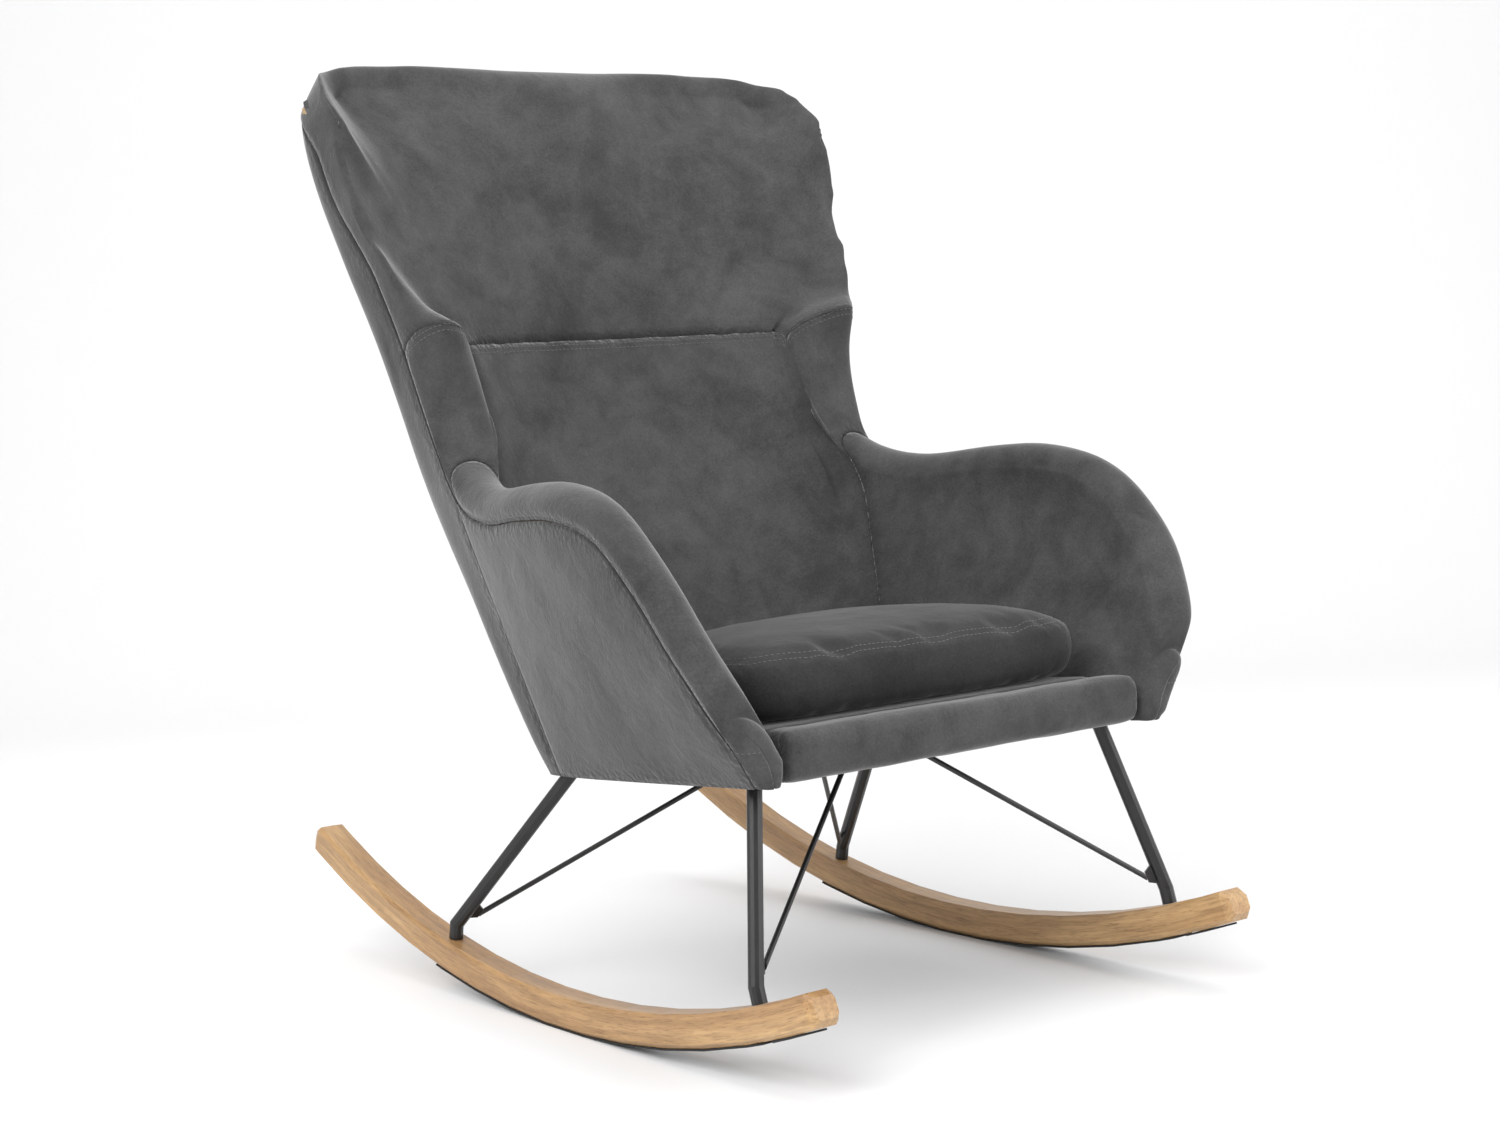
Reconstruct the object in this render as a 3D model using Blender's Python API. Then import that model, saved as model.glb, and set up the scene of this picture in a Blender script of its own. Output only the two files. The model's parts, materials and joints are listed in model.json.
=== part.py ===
"""Wingback rocking chair: bent wooden rockers, a black steel frame and an upholstered shell.

Metres, +Z up. The chair faces -Y. X is symmetric. The origin is on the floor, under the middle
of the chair's bounding box. Heights along the shell are named from the floor.
"""

import math

import bmesh
import bpy
import numpy as np
from mathutils import Matrix, Vector

# Driving dimensions --------------------------------------------------------------------------
ROCKER_SPAN = 0.578  # outer face of one rocker to outer face of the other
ROCKER_WIDTH = 0.034
ROCKER_HEIGHT = 0.033
ROCKER_RADIUS = 1.162  # floor side of the anti-slip strips
ROCKER_REAR = 0.511  # rear tip, measured from the lowest point of the arc
ROCKER_FRONT = 0.409  # front tip, measured the same way
ROCKER_FACET = math.radians(3.4)  # one flat of the faceted arc; the middle flat lies on the floor
ROCKER_CHAMFER = 0.004
ROCKER_TIP = 0.009  # length of the eased tips
STRIP_THICK = 0.002
STRIP_WIDTH = 0.028
STRIP_REAR = 0.250  # rear end of the long strip
STRIP_FRONT = 0.330  # front end of the long strip
PAD_FRONT = 0.392  # front end of the short front pad
PAD_LENGTH = 0.045

LEG_DIAMETER = 0.0152
LEG_FOOT_STRAIGHT = 0.016  # short upright stretch that lands on the wood
FRONT_FOOT_Y = -0.3126
REAR_FOOT_Y = 0.227
FRONT_TOP = (0.2275, -0.262)
REAR_TOP = (0.2120, 0.073)
BRACE_DIAMETER = 0.0056
BRACE_DROP = 0.034  # height of the brace's lower end above the rocker
TAB_THICK = 0.003
BAR_WIDTH = 0.026
BAR_THICK = 0.004
FRONT_CROSS_Y = -0.175
REAR_CROSS_Y = -0.023
BRACE_TOP_X = 0.040  # the braces end on the cross bars, this far from the middle
BOLT_RADIUS = 0.0028
BOLT_HEAD_RADIUS = 0.0052
BOLT_CLEARANCE = 0.0005
BOLT_Y = (-0.205, 0.020)  # along the side bars
BOLT_HEAD_HEIGHT = 0.0034
NUT_RADIUS = 0.0048
BAR_PAST_FRONT_LEG = 0.012
BAR_PAST_REAR_LEG = 0.010

SHELL_WIDTH = 0.720  # across the arms
BACK_TOP = 1.012
UNDERSIDE = 0.2527  # underside of the shell at the arc's lowest point
UNDERSIDE_SLOPE = -0.0765  # the seat rises towards the front
ARM_WALL = 0.048
BACK_WALL = 0.076
COVER = 0.0013
BOARD_INSET = 0.0052  # from the outer face to the moulded board
BOARD_THICK = 0.0046
CHANNEL = 0.0121  # depth of the hollow in the arm foam that takes the board and the rim rod
BACK_FOAM = 0.017  # foam over the sprung hollow of the back
BOARD_RISE = 0.004  # the board and its tube stop this far above the rim line
FRAME_TUBE_RADIUS = 0.0036
TUBE_CLEARANCE = 0.0006
TUBE_SIDES = 6
SEAT_BOARD_THICK = 0.018
SKIRT = 0.005  # the cover hangs this far below the seat board
DUST_COVER = 0.0008
DECK_FOAM = 0.025
ROLL_DEPTH = 0.046
ROLL_FRONT = -0.318
ROLL_SQUARENESS = 0.55
RAIL_PADDING = 0.007  # foam between the front rail and the roll's cover
SEAM = 0.0012
GAP = 0.0003

CUSHION_HALF_WIDTH = 0.343 * SHELL_WIDTH
CUSHION_FRONT = -0.284
CUSHION_REAR = 0.092
CUSHION_EDGE = 0.040
CUSHION_CROWN = 0.044
CUSHION_CORNER = 4.2  # superellipse exponent at the front
CUSHION_REAR_CORNER = 2.4

# The row's origin lies midway between the rocker tips.
ROW_Y = -(ROCKER_REAR - ROCKER_FRONT) / 2
ARC_Z = ROCKER_RADIUS * math.cos(ROCKER_FACET / 2)

# Ribs of the shell: for each height, the outer face at six stations from the middle of the back
# round to the front of the arm, in metres at the drawn width.
DRAWN_WIDTH = 0.720
DRAWN_TOP = 1.012
RIB_BASE = 0.25  # height of the lowest rib
STATIONS = (0.0, 0.22, 0.42, 0.58, 0.80, 1.0)
RIBS = {
    0.25: ((0, 0.148), (0.120, 0.142), (0.222, 0.100), (0.241, 0.050), (0.252, -0.10), (0.250, -0.33)),
    0.33: ((0, 0.198), (0.130, 0.190), (0.238, 0.135), (0.257, 0.075), (0.285, -0.10), (0.300, -0.33)),
    0.41: ((0, 0.240), (0.140, 0.230), (0.248, 0.175), (0.271, 0.105), (0.312, -0.10), (0.338, -0.33)),
    0.54: ((0, 0.302), (0.150, 0.290), (0.262, 0.240), (0.290, 0.155), (0.341, -0.10), (0.360, -0.33)),
    0.70: ((0, 0.357), (0.165, 0.345), (0.282, 0.296), (0.297, 0.220), (0.350, -0.10), (0.365, -0.33)),
    0.88: ((0, 0.407), (0.180, 0.395), (0.316, 0.352), (0.336, 0.268), (0.370, -0.10), (0.370, -0.33)),
    1.02: ((0, 0.430), (0.185, 0.418), (0.328, 0.378), (0.350, 0.298), (0.380, -0.10), (0.375, -0.33)),
}
# From the outer face to the inner face at each station, below the arm tops and above them.
WALL_LOW = ((0, -0.084), (-0.025, -0.082), (-0.046, -0.062), (-0.046, -0.016), (-ARM_WALL, 0), (-ARM_WALL, 0))
WALL_HIGH = (
    (0, -0.086),
    (-0.035, -0.084),
    (-0.078, -0.064),
    (-BACK_WALL, -0.006),
    (-BACK_WALL, 0),
    (-BACK_WALL, 0),
)
WALL_BLEND = (0.50, 0.62)

# The rim, from the front corner of an arm over the arm, up the wing and to the middle of the top:
# station, height, the station where its section meets the seat, and how squarely it leaves the rim.
RIM = (
    (0.985, 0.322, 0.985, 0.0),
    (0.980, 0.362, 0.945, 0.5),
    (0.962, 0.408, 0.900, 0.7),
    (0.932, 0.463, 0.845, 0.7),
    (0.877, 0.518, 0.790, 0.5),
    (0.809, 0.535, 0.735, 0.2),
    (0.740, 0.533, 0.680, 0.0),
    (0.660, 0.526, 0.625, 0.0),
    (0.592, 0.548, 0.575, 0.2),
    (0.580, 0.610, 0.520, 0.6),
    (0.580, 0.700, 0.460, 0.8),
    (0.580, 0.780, 0.400, 0.9),
    (0.580, 0.875, 0.340, 0.9),
    (0.560, 0.938, 0.280, 0.8),
    (0.480, 0.966, 0.225, 0.6),
    (0.360, 0.973, 0.165, 0.35),
    (0.180, 0.9755, 0.085, 0.1),
    (0.0, 0.976, 0.0, 0.0),
)
JUNCTION = 8  # rim point where the arm meets the wing
SHOULDER = 10  # rim point where the shoulder seam crosses the wing
SHOULDER_Z = 0.700
SIDE_SEAM = 0.012  # the outer seam runs this far below the round of the rim
SPLIT = 0.035  # half of a seam between panels, in rim points
CAP_POINTS = 3
LEAST_REACH = 0.85  # a section slanting to the rim is spread no further than this

PALETTE = {
    "oak": ((0.55, 0.36, 0.19), 0.5, 0.0),
    "rubber": ((0.02, 0.02, 0.02), 0.85, 0.0),
    "black_metal": ((0.02, 0.02, 0.022), 0.4, 0.9),
    "zinc": ((0.55, 0.55, 0.56), 0.35, 1.0),
    "plywood": ((0.62, 0.48, 0.30), 0.7, 0.0),
    "dust_cloth": ((0.03, 0.03, 0.03), 0.95, 0.0),
    "foam": ((0.80, 0.74, 0.55), 0.95, 0.0),
    "velvet": ((0.10, 0.10, 0.11), 0.75, 0.0),
    "cushion_velvet": ((0.06, 0.06, 0.065), 0.75, 0.0),
}


# Scene helpers -------------------------------------------------------------------------------
def clear_scene():
    for item in list(bpy.data.objects):
        bpy.data.objects.remove(item, do_unlink=True)


def material(name):
    found = bpy.data.materials.get(name)
    if found:
        return found
    colour, roughness, metallic = PALETTE[name]
    made = bpy.data.materials.new(name)
    made.use_nodes = True
    shader = made.node_tree.nodes["Principled BSDF"]
    shader.inputs["Base Color"].default_value = (*colour, 1)
    shader.inputs["Roughness"].default_value = roughness
    shader.inputs["Metallic"].default_value = metallic
    return made


def finish(name, mesh_builder, slot, smooth=30):
    """Turns a bmesh into a named object, with its faces pointing out, in the row's frame."""
    bmesh.ops.recalc_face_normals(mesh_builder, faces=mesh_builder.faces)
    mesh = bpy.data.meshes.new(name)
    mesh_builder.to_mesh(mesh)
    mesh_builder.free()
    mesh.shade_smooth()
    mesh.set_sharp_from_angle(angle=math.radians(smooth))
    mesh.materials.append(material(slot))
    made = bpy.data.objects.new(name, mesh)
    made.location.y = ROW_Y
    bpy.context.scene.collection.objects.link(made)
    return made


def loft(loops, closed_ends=True):
    """A skin through loops of the same number of points, with its two ends filled."""
    made = bmesh.new()
    rows = [[made.verts.new(point) for point in loop] for loop in loops]
    count = len(rows[0])
    for low, high in zip(rows, rows[1:]):
        for i in range(count):
            k = (i + 1) % count
            made.faces.new((low[i], low[k], high[k], high[i]))
    if closed_ends:
        made.faces.new(rows[0][::-1])
        made.faces.new(rows[-1])
    return made


def ring_of_loops(loops):
    """A skin through loops that close on themselves, as on a tube with a bore."""
    return loft([*loops, loops[0]], closed_ends=False)


def cut(target, name, centre, direction, radius, length, sides=12):
    """Cuts a round hole with a Boolean whose cutter stays hidden."""
    made = bmesh.new()
    turn = Vector((0, 0, 1)).rotation_difference(Vector(direction)).to_matrix().to_4x4()
    bmesh.ops.create_cone(
        made,
        cap_ends=True,
        segments=sides,
        radius1=radius,
        radius2=radius,
        depth=length,
        matrix=Matrix.Translation(centre) @ turn,
    )
    cutter = finish(name, made, "zinc")
    cutter.hide_render = True
    cutter.display_type = "WIRE"
    modifier = target.modifiers.new(name, "BOOLEAN")
    modifier.operation = "DIFFERENCE"
    modifier.object = cutter


# Shell surface -------------------------------------------------------------------------------
def spline(knots, values, at):
    """A smooth curve through values at uneven knots, by cubic Hermite pieces."""
    knots = np.asarray(knots, float)
    values = np.asarray(values, float)
    slopes = np.gradient(values, knots, axis=0)
    k = int(np.clip(np.searchsorted(knots, at) - 1, 0, len(knots) - 2))
    width = knots[k + 1] - knots[k]
    t = (at - knots[k]) / width
    if t < 0 or t > 1:
        end = k if t < 0 else k + 1
        return values[end] + (at - knots[end]) * slopes[end]
    blend = (2 * t**3 - 3 * t**2 + 1, t**3 - 2 * t**2 + t, 3 * t**2 - 2 * t**3, t**3 - t**2)
    return (
        blend[0] * values[k]
        + blend[1] * width * slopes[k]
        + blend[2] * values[k + 1]
        + blend[3] * width * slopes[k + 1]
    )


def drawn_height(z):
    """The height in the rib drawing that stands for a real height."""
    return UNDERSIDE + (z - UNDERSIDE) * (DRAWN_TOP - UNDERSIDE) / (BACK_TOP - UNDERSIDE)


def outer_face(station, height):
    """Plan position of the outer face, at a height of the rib drawing."""
    columns = [spline(list(RIBS), [rib[i] for rib in RIBS.values()], height) for i in range(len(STATIONS))]
    x, y = spline(STATIONS, columns, station)
    return np.array((x * SHELL_WIDTH / DRAWN_WIDTH, y))


def wall(station, height):
    """From the outer face to the inner face, in plan."""
    share = np.clip((height - WALL_BLEND[0]) / (WALL_BLEND[1] - WALL_BLEND[0]), 0, 1)
    share = share * share * (3 - 2 * share)
    low = spline(STATIONS, WALL_LOW, station)
    high = spline(STATIONS, WALL_HIGH, station)
    return low + (high - low) * share


def underside(y):
    return UNDERSIDE + UNDERSIDE_SLOPE * y


class Section:
    """One section of the shell wall, from the rim down to the seat."""

    def __init__(self, at, side):
        self.side = side
        station, height, foot, square = spline(range(len(RIM)), RIM, at)
        self.rim = np.array((station, height))
        foot_y = outer_face(foot, RIB_BASE)[1]
        self.foot = np.array((foot, drawn_height(underside(foot_y))))
        corner = self.rim + (self.foot - self.rim) * np.array((square, (1 - square) / 2))
        self.corner = corner if square > 0 else (self.rim + self.foot) / 2
        self.thick = np.linalg.norm(wall(*self.rim))
        self.reach = 1.0

    def measure(self, behind, ahead):
        """Sets how far the whole section would reach square to the rim, from its first stretch."""
        run = ahead.point(0, 0.5) - behind.point(0, 0.5)
        run /= np.linalg.norm(run)
        step = (self.point(0.02, 0.5) - self.point(0, 0.5)) / 0.02
        whole = np.linalg.norm(step)
        self.reach = max(np.linalg.norm(step - run * step.dot(run)), LEAST_REACH * whole)

    def station(self, down):
        """Station and height, a share of the way down the section. Above the rim it runs straight on."""
        if down < 0:
            return self.rim + 2 * down * (self.corner - self.rim)
        rise = 1 - down
        return rise * rise * self.rim + 2 * rise * down * self.corner + down * down * self.foot

    def point(self, down, across):
        """A point of the wall: across is 0 on the outer face and 1 on the inner one."""
        station, height = self.station(down)
        x, y = outer_face(station, height) + across * wall(station, height)
        z = UNDERSIDE + (height - UNDERSIDE) * (BACK_TOP - UNDERSIDE) / (DRAWN_TOP - UNDERSIDE)
        return np.array((self.side * x, y, z))

    def at_depth(self, down, depth, inner=False):
        """A point a given distance under the outer or the inner face."""
        thick = np.linalg.norm(wall(*self.station(down)))
        share = depth / thick
        return self.point(down, 1 - share if inner else share)

    def down_to(self, clear):
        """Share of the way down where the inner face is this far above the underside."""
        low, high = 0.3, 1.0
        for _ in range(30):
            middle = (low + high) / 2
            inner = self.point(middle, 1)
            low, high = (middle, high) if inner[2] > underside(inner[1]) + clear else (low, middle)
        return low

    def down_to_height(self, z, least):
        """Share of the way down where the section passes a height."""
        down = least
        while down < 0.7 and self.point(down, 1)[2] > z:
            down += 0.002
        return down


def sections():
    """Every section of the shell, from the right arm's front round to the left arm's."""
    last = len(RIM) - 1
    half = []
    for k in range(last + 1):
        half += (k - SPLIT, k + SPLIT) if k in (JUNCTION, SHOULDER) else (k,)
    right = [Section(u, 1) for u in half]
    left = [Section(u, -1) for u in half[-2::-1]]
    made = right + left
    for k, section in enumerate(made):
        section.measure(made[max(k - 1, 0)], made[min(k + 1, len(made) - 1)])
    return made, half


WALL_SECTIONS, HALF = sections()
MIDDLE = len(HALF) - 1
FACES = len(WALL_SECTIONS) - 1
AFTER_ARM = HALF.index(JUNCTION + SPLIT)
AFTER_SHOULDER = HALF.index(SHOULDER + SPLIT)
# Places down the section: the outer side from the hem up, the round of the rim, the inner side.
OUTER_ROWS = 7
INNER_ROWS = 6
ROWS = OUTER_ROWS + CAP_POINTS + INNER_ROWS
HEM, WALL_FOOT, SEAM_LOW, SEAM_HIGH = 0, 1, 4, 5
INNER_FIRST = OUTER_ROWS + CAP_POINTS
SHOULDER_HIGH, SHOULDER_LOW = INNER_FIRST + 1, INNER_FIRST + 2
INNER_LAST = ROWS - 1


def rows_of(section):
    """Shares down the section for each row of the outer and the inner side."""
    wall_foot = section.down_to(SKIRT + SEAT_BOARD_THICK + 3 * GAP)
    seam = SIDE_SEAM / section.reach
    half_seam = SEAM / 2 / section.reach
    below = wall_foot - seam
    outer = [1.0, wall_foot, seam + below * 0.67, seam + below * 0.33]
    outer += [seam + half_seam, seam - half_seam, 0.0]
    shoulder = section.down_to_height(SHOULDER_Z, 0.08)
    lower = wall_foot - shoulder
    inner = [0.0, shoulder - half_seam, shoulder + half_seam]
    inner += [shoulder + lower * 0.35, shoulder + lower * 0.68, wall_foot]
    return outer, inner


SECTION_ROWS = [rows_of(section) for section in WALL_SECTIONS]


def skin(depth):
    """Points of every section at one distance under the surface, all round the rim."""
    grid = []
    for section, (outer, inner) in zip(WALL_SECTIONS, SECTION_ROWS):
        row = [section.at_depth(down, depth) for down in outer]
        radius = section.thick / 2
        for k in range(CAP_POINTS):
            angle = math.pi * (k + 1) / (CAP_POINTS + 1)
            rise = (radius - depth) * math.sin(angle) / section.reach
            across = 0.5 - (radius - depth) / section.thick * math.cos(angle)
            row.append(section.point(-rise, across))
        row += [section.at_depth(down, depth, inner=True) for down in inner]
        grid.append(row)
    return np.array(grid)


def hollow(padding=None):
    """A flat-topped hollow in the foam: the channel's depth, or up to a padding under the inner face."""
    grid = []
    far = BOARD_INSET + CHANNEL
    for section, (outer, inner) in zip(WALL_SECTIONS, SECTION_ROWS):
        highest = -BOARD_RISE / section.reach
        row = [section.at_depth(max(down, highest), BOARD_INSET) for down in outer]
        for k in range(CAP_POINTS):
            depth = BOARD_INSET + CHANNEL * (k + 1) / (CAP_POINTS + 1)
            row.append(section.at_depth(highest, depth))
        for down in inner:
            if padding is None:
                row.append(section.at_depth(max(down, highest), far))
            else:
                row.append(section.at_depth(max(down, highest), padding, inner=True))
        grid.append(row)
    return np.array(grid)


def patch(name, cells, face, back, slot):
    """A thick sheet over chosen cells, between two grids of points."""
    made = bmesh.new()
    made_at = {}

    def corner(layer, j, i):
        key = (layer, j, i)
        if key not in made_at:
            made_at[key] = made.verts.new((face, back)[layer][j, i])
        return made_at[key]

    edges = {}
    for j, i in sorted(cells):
        loop = ((j, i), (j + 1, i), (j + 1, i + 1), (j, i + 1))
        # Every layer is split along the same diagonals, mirrored left to right.
        turn = loop if j < len(face) // 2 else loop[1:] + loop[:1]
        for half in (turn[:3], turn[2:] + turn[:1]):
            made.faces.new([corner(0, *place) for place in half])
            made.faces.new([corner(1, *place) for place in half[::-1]])
        for a, b in zip(loop, loop[1:] + loop[:1]):
            edges[a, b] = True
    for a, b in edges:
        if (b, a) not in edges:
            made.faces.new((corner(0, *b), corner(0, *a), corner(1, *a), corner(1, *b)))
    return finish(name, made, slot)


def layered_loft(loops):
    """A loft over every section, split along the same diagonals as the sheets round it."""
    made = bmesh.new()
    rows = [[made.verts.new(point) for point in loop] for loop in loops]
    count = len(rows[0])
    for j in range(len(rows) - 1):
        for i in range(count):
            k = (i + 1) % count
            loop = (rows[j][i], rows[j + 1][i], rows[j + 1][k], rows[j][k])
            turn = loop if j < len(rows) // 2 else loop[1:] + loop[:1]
            made.faces.new(turn[:3])
            made.faces.new(turn[2:] + turn[:1])
    made.faces.new(rows[0][::-1])
    made.faces.new(rows[-1])
    return made


def block(columns, rows):
    return {(j, i) for j in columns for i in rows}


def prism(name, outline, low, high, slot):
    """A flat plate on the tilted underside: its faces lie at two distances above it."""
    loops = [[(x, y, underside(y) + rise) for x, y in outline] for rise in (low, high)]
    return finish(name, loft(loops), slot)


def bottom_outline(inset):
    """Plan outline of the shell's bottom, pulled in by a distance."""
    points = []
    for section in WALL_SECTIONS:
        x, y, _ = section.at_depth(1.0, inset)
        points.append((x, y))
    return points


def cropped(outline, front):
    """An outline that runs from the right front round to the left front, with a straight front edge."""
    kept = [point for point in outline if point[1] > front]
    first = outline.index(kept[0])
    ahead, behind = outline[first - 1], kept[0]
    share = (front - behind[1]) / (ahead[1] - behind[1])
    x = behind[0] + share * (ahead[0] - behind[0])
    return [(x, front), *kept, (-x, front)]


# Rockers -------------------------------------------------------------------------------------
def arc_point(x, angle, radius):
    return (x, radius * math.sin(angle), ARC_Z - radius * math.cos(angle))


def arc_stations(front, rear):
    """Angles of the flats' corners between two ends; one flat is centred on the lowest point."""
    count = math.ceil(math.radians(40) / ROCKER_FACET)
    corners = [(k + 0.5) * ROCKER_FACET for k in range(-count, count)]
    margin = ROCKER_FACET * 0.05
    return [front, *(a for a in corners if front + margin < a < rear - margin), rear]


def bar_profile(radius, height, width, chamfer):
    """Corners of a bar's section as (offset in x, radius), with chamfered edges."""
    half = width / 2
    inner = radius - height
    return (
        (-half + chamfer, radius),
        (half - chamfer, radius),
        (half, radius - chamfer),
        (half, inner + chamfer),
        (half - chamfer, inner),
        (-half + chamfer, inner),
        (-half, inner + chamfer),
        (-half, radius - chamfer),
    )


def make_rocker(side, label):
    x = side * (ROCKER_SPAN - ROCKER_WIDTH) / 2
    outer = ROCKER_RADIUS - STRIP_THICK - GAP
    middle = outer - ROCKER_HEIGHT / 2
    front = -math.asin(ROCKER_FRONT / middle)
    rear = math.asin(ROCKER_REAR / middle)
    rounding = ROCKER_TIP / middle
    loops = []
    full = bar_profile(outer, ROCKER_HEIGHT, ROCKER_WIDTH, ROCKER_CHAMFER)
    small = bar_profile(outer - 0.006, ROCKER_HEIGHT - 0.012, ROCKER_WIDTH - 0.008, ROCKER_CHAMFER)
    inner_angles = arc_stations(front + rounding, rear - rounding)
    for angle in (front, *inner_angles, rear):
        profile = small if angle in (front, rear) else full
        loops.append([arc_point(x + dx, angle, radius) for dx, radius in profile])
    rocker = finish(f"rocker_{label}", loft(loops), "oak")
    for end, foot_y in (("front", FRONT_FOOT_Y), ("rear", REAR_FOOT_Y)):
        angle = math.asin(foot_y / (outer - ROCKER_HEIGHT))
        away = Vector((0, -math.sin(angle), math.cos(angle)))
        seat = Vector(arc_point(x, angle, outer - ROCKER_HEIGHT / 2))
        floor_side = Vector(arc_point(x, angle, outer))
        hole = BOLT_RADIUS + BOLT_CLEARANCE
        cut(rocker, f"hole_{label}_{end}", seat, away, hole, ROCKER_HEIGHT * 2)
        recess = BOLT_HEAD_RADIUS + BOLT_CLEARANCE
        cut(rocker, f"recess_{label}_{end}", floor_side, away, recess, 0.016)
    for name, low, high in (
        ("strip", -STRIP_FRONT, STRIP_REAR),
        ("front_pad", -PAD_FRONT, -PAD_FRONT + PAD_LENGTH),
    ):
        ends = [math.asin(value / ROCKER_RADIUS) for value in (low, high)]
        profile = bar_profile(ROCKER_RADIUS, STRIP_THICK, STRIP_WIDTH, 0.0005)
        loops = [[arc_point(x + dx, a, r) for dx, r in profile] for a in arc_stations(*ends)]
        finish(f"rocker_{name}_{label}", loft(loops), "rubber")


# Frame ---------------------------------------------------------------------------------------
def circle(centre, axis, radius, sides, cut_normal=None):
    """Points round an axis. With cut_normal, the ring lies in that plane instead."""
    axis = Vector(axis).normalized()
    first = axis.orthogonal().normalized()
    second = axis.cross(first)
    points = []
    for k in range(sides):
        angle = 2 * math.pi * k / sides
        offset = radius * (math.cos(angle) * first + math.sin(angle) * second)
        if cut_normal is not None:
            offset -= axis * (offset.dot(cut_normal) / axis.dot(cut_normal))
        points.append(Vector(centre) + offset)
    return points


def mirror(points):
    return [Vector((-p.x, p.y, p.z)) for p in points]


def side_of(loops, side):
    return loops if side > 0 else [mirror(loop) for loop in loops]


def foot_frame(foot_y):
    """Where a leg lands on the right rocker, and the rocker's normal there."""
    inner = ROCKER_RADIUS - STRIP_THICK - GAP - ROCKER_HEIGHT
    angle = math.asin(foot_y / inner)
    x = (ROCKER_SPAN - ROCKER_WIDTH) / 2
    # The wood is faceted, so its flat lies a little inside the arc.
    flat = inner * math.cos(ROCKER_FACET / 2) - GAP
    return Vector(arc_point(x, angle, flat)), Vector((0, -math.sin(angle), math.cos(angle)))


def leg_ends(foot_y, top):
    foot, normal = foot_frame(foot_y)
    knee = foot + normal * LEG_FOOT_STRAIGHT
    height = underside(top[1]) + SKIRT - DUST_COVER - BAR_THICK - 3 * GAP
    head = Vector((top[0] * SHELL_WIDTH / DRAWN_WIDTH, top[1], height))
    return foot, normal, knee, head


def make_leg(name, side, foot_y, top):
    foot, normal, knee, head = leg_ends(foot_y, top)
    line = (head - knee).normalized()
    bend = (line + normal).normalized()
    flat = Vector((0, -UNDERSIDE_SLOPE, 1)).normalized()
    mitre = circle(knee, line, LEG_DIAMETER / 2, 12, bend)
    sole = [point - normal * (point - foot).dot(normal) for point in mitre]
    loops = [sole, mitre, circle(head, line, LEG_DIAMETER / 2, 12, flat)]
    leg = finish(f"leg_{name}", loft(side_of(loops, side)), "black_metal")
    # A blind hole in the foot takes the bolt that comes up through the rocker.
    depth = LEG_FOOT_STRAIGHT - 0.002
    middle = mirror([foot])[0] if side < 0 else foot
    along = mirror([normal])[0] if side < 0 else normal
    cut(leg, f"foot_hole_{name}", middle, along, BOLT_RADIUS + BOLT_CLEARANCE, 2 * depth)

    head_low = foot - normal * (ROCKER_HEIGHT - 0.0013)
    head_high = foot - normal * (ROCKER_HEIGHT - 0.0070)
    tip = foot + normal * (LEG_FOOT_STRAIGHT - 0.005)
    rings = [
        circle(head_low, normal, BOLT_HEAD_RADIUS, 12),
        circle(head_high, normal, BOLT_HEAD_RADIUS, 12),
        circle(head_high, normal, BOLT_RADIUS, 12),
        circle(tip, normal, BOLT_RADIUS, 12),
    ]
    finish(f"rocker_bolt_{name}", loft(side_of(rings, side)), "zinc")


def make_brace(name, side, foot_y, top, cross_y):
    """A thin rod from a tab near the leg's foot up to a cross bar under the seat."""
    _, _, knee, head = leg_ends(foot_y, top)
    line = (head - knee).normalized()
    on_leg = knee + line * ((BRACE_DROP - LEG_FOOT_STRAIGHT) / line.z)
    rise = SKIRT - DUST_COVER - BAR_THICK - 3 * GAP
    upper = Vector((BRACE_TOP_X, cross_y, underside(cross_y) + rise))
    out = (upper - on_leg).normalized()
    across = (out - line * out.dot(line)).normalized()
    tab_start = on_leg + across * (LEG_DIAMETER / 2 + GAP)
    tab_end = tab_start + across * 0.007
    normal = line.cross(across)
    half = TAB_THICK / 2
    loops = []
    for point, reach in ((tab_start, 0.010), (tab_end, 0.006)):
        loops.append([
            point + line * reach + normal * half,
            point + line * reach - normal * half,
            point - line * reach - normal * half,
            point - line * reach + normal * half,
        ])
    finish(f"brace_tab_{name}", loft(side_of(loops, side)), "black_metal")
    start = tab_end + across * GAP
    axis = (upper - start).normalized()
    radius = BRACE_DIAMETER / 2
    start += axis * radius * 0.6
    flat = Vector((0, -UNDERSIDE_SLOPE, 1)).normalized()
    loops = [circle(start, axis, radius, 8, across), circle(upper, axis, radius, 8, flat)]
    finish(f"brace_{name}", loft(side_of(loops, side)), "black_metal")


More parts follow.
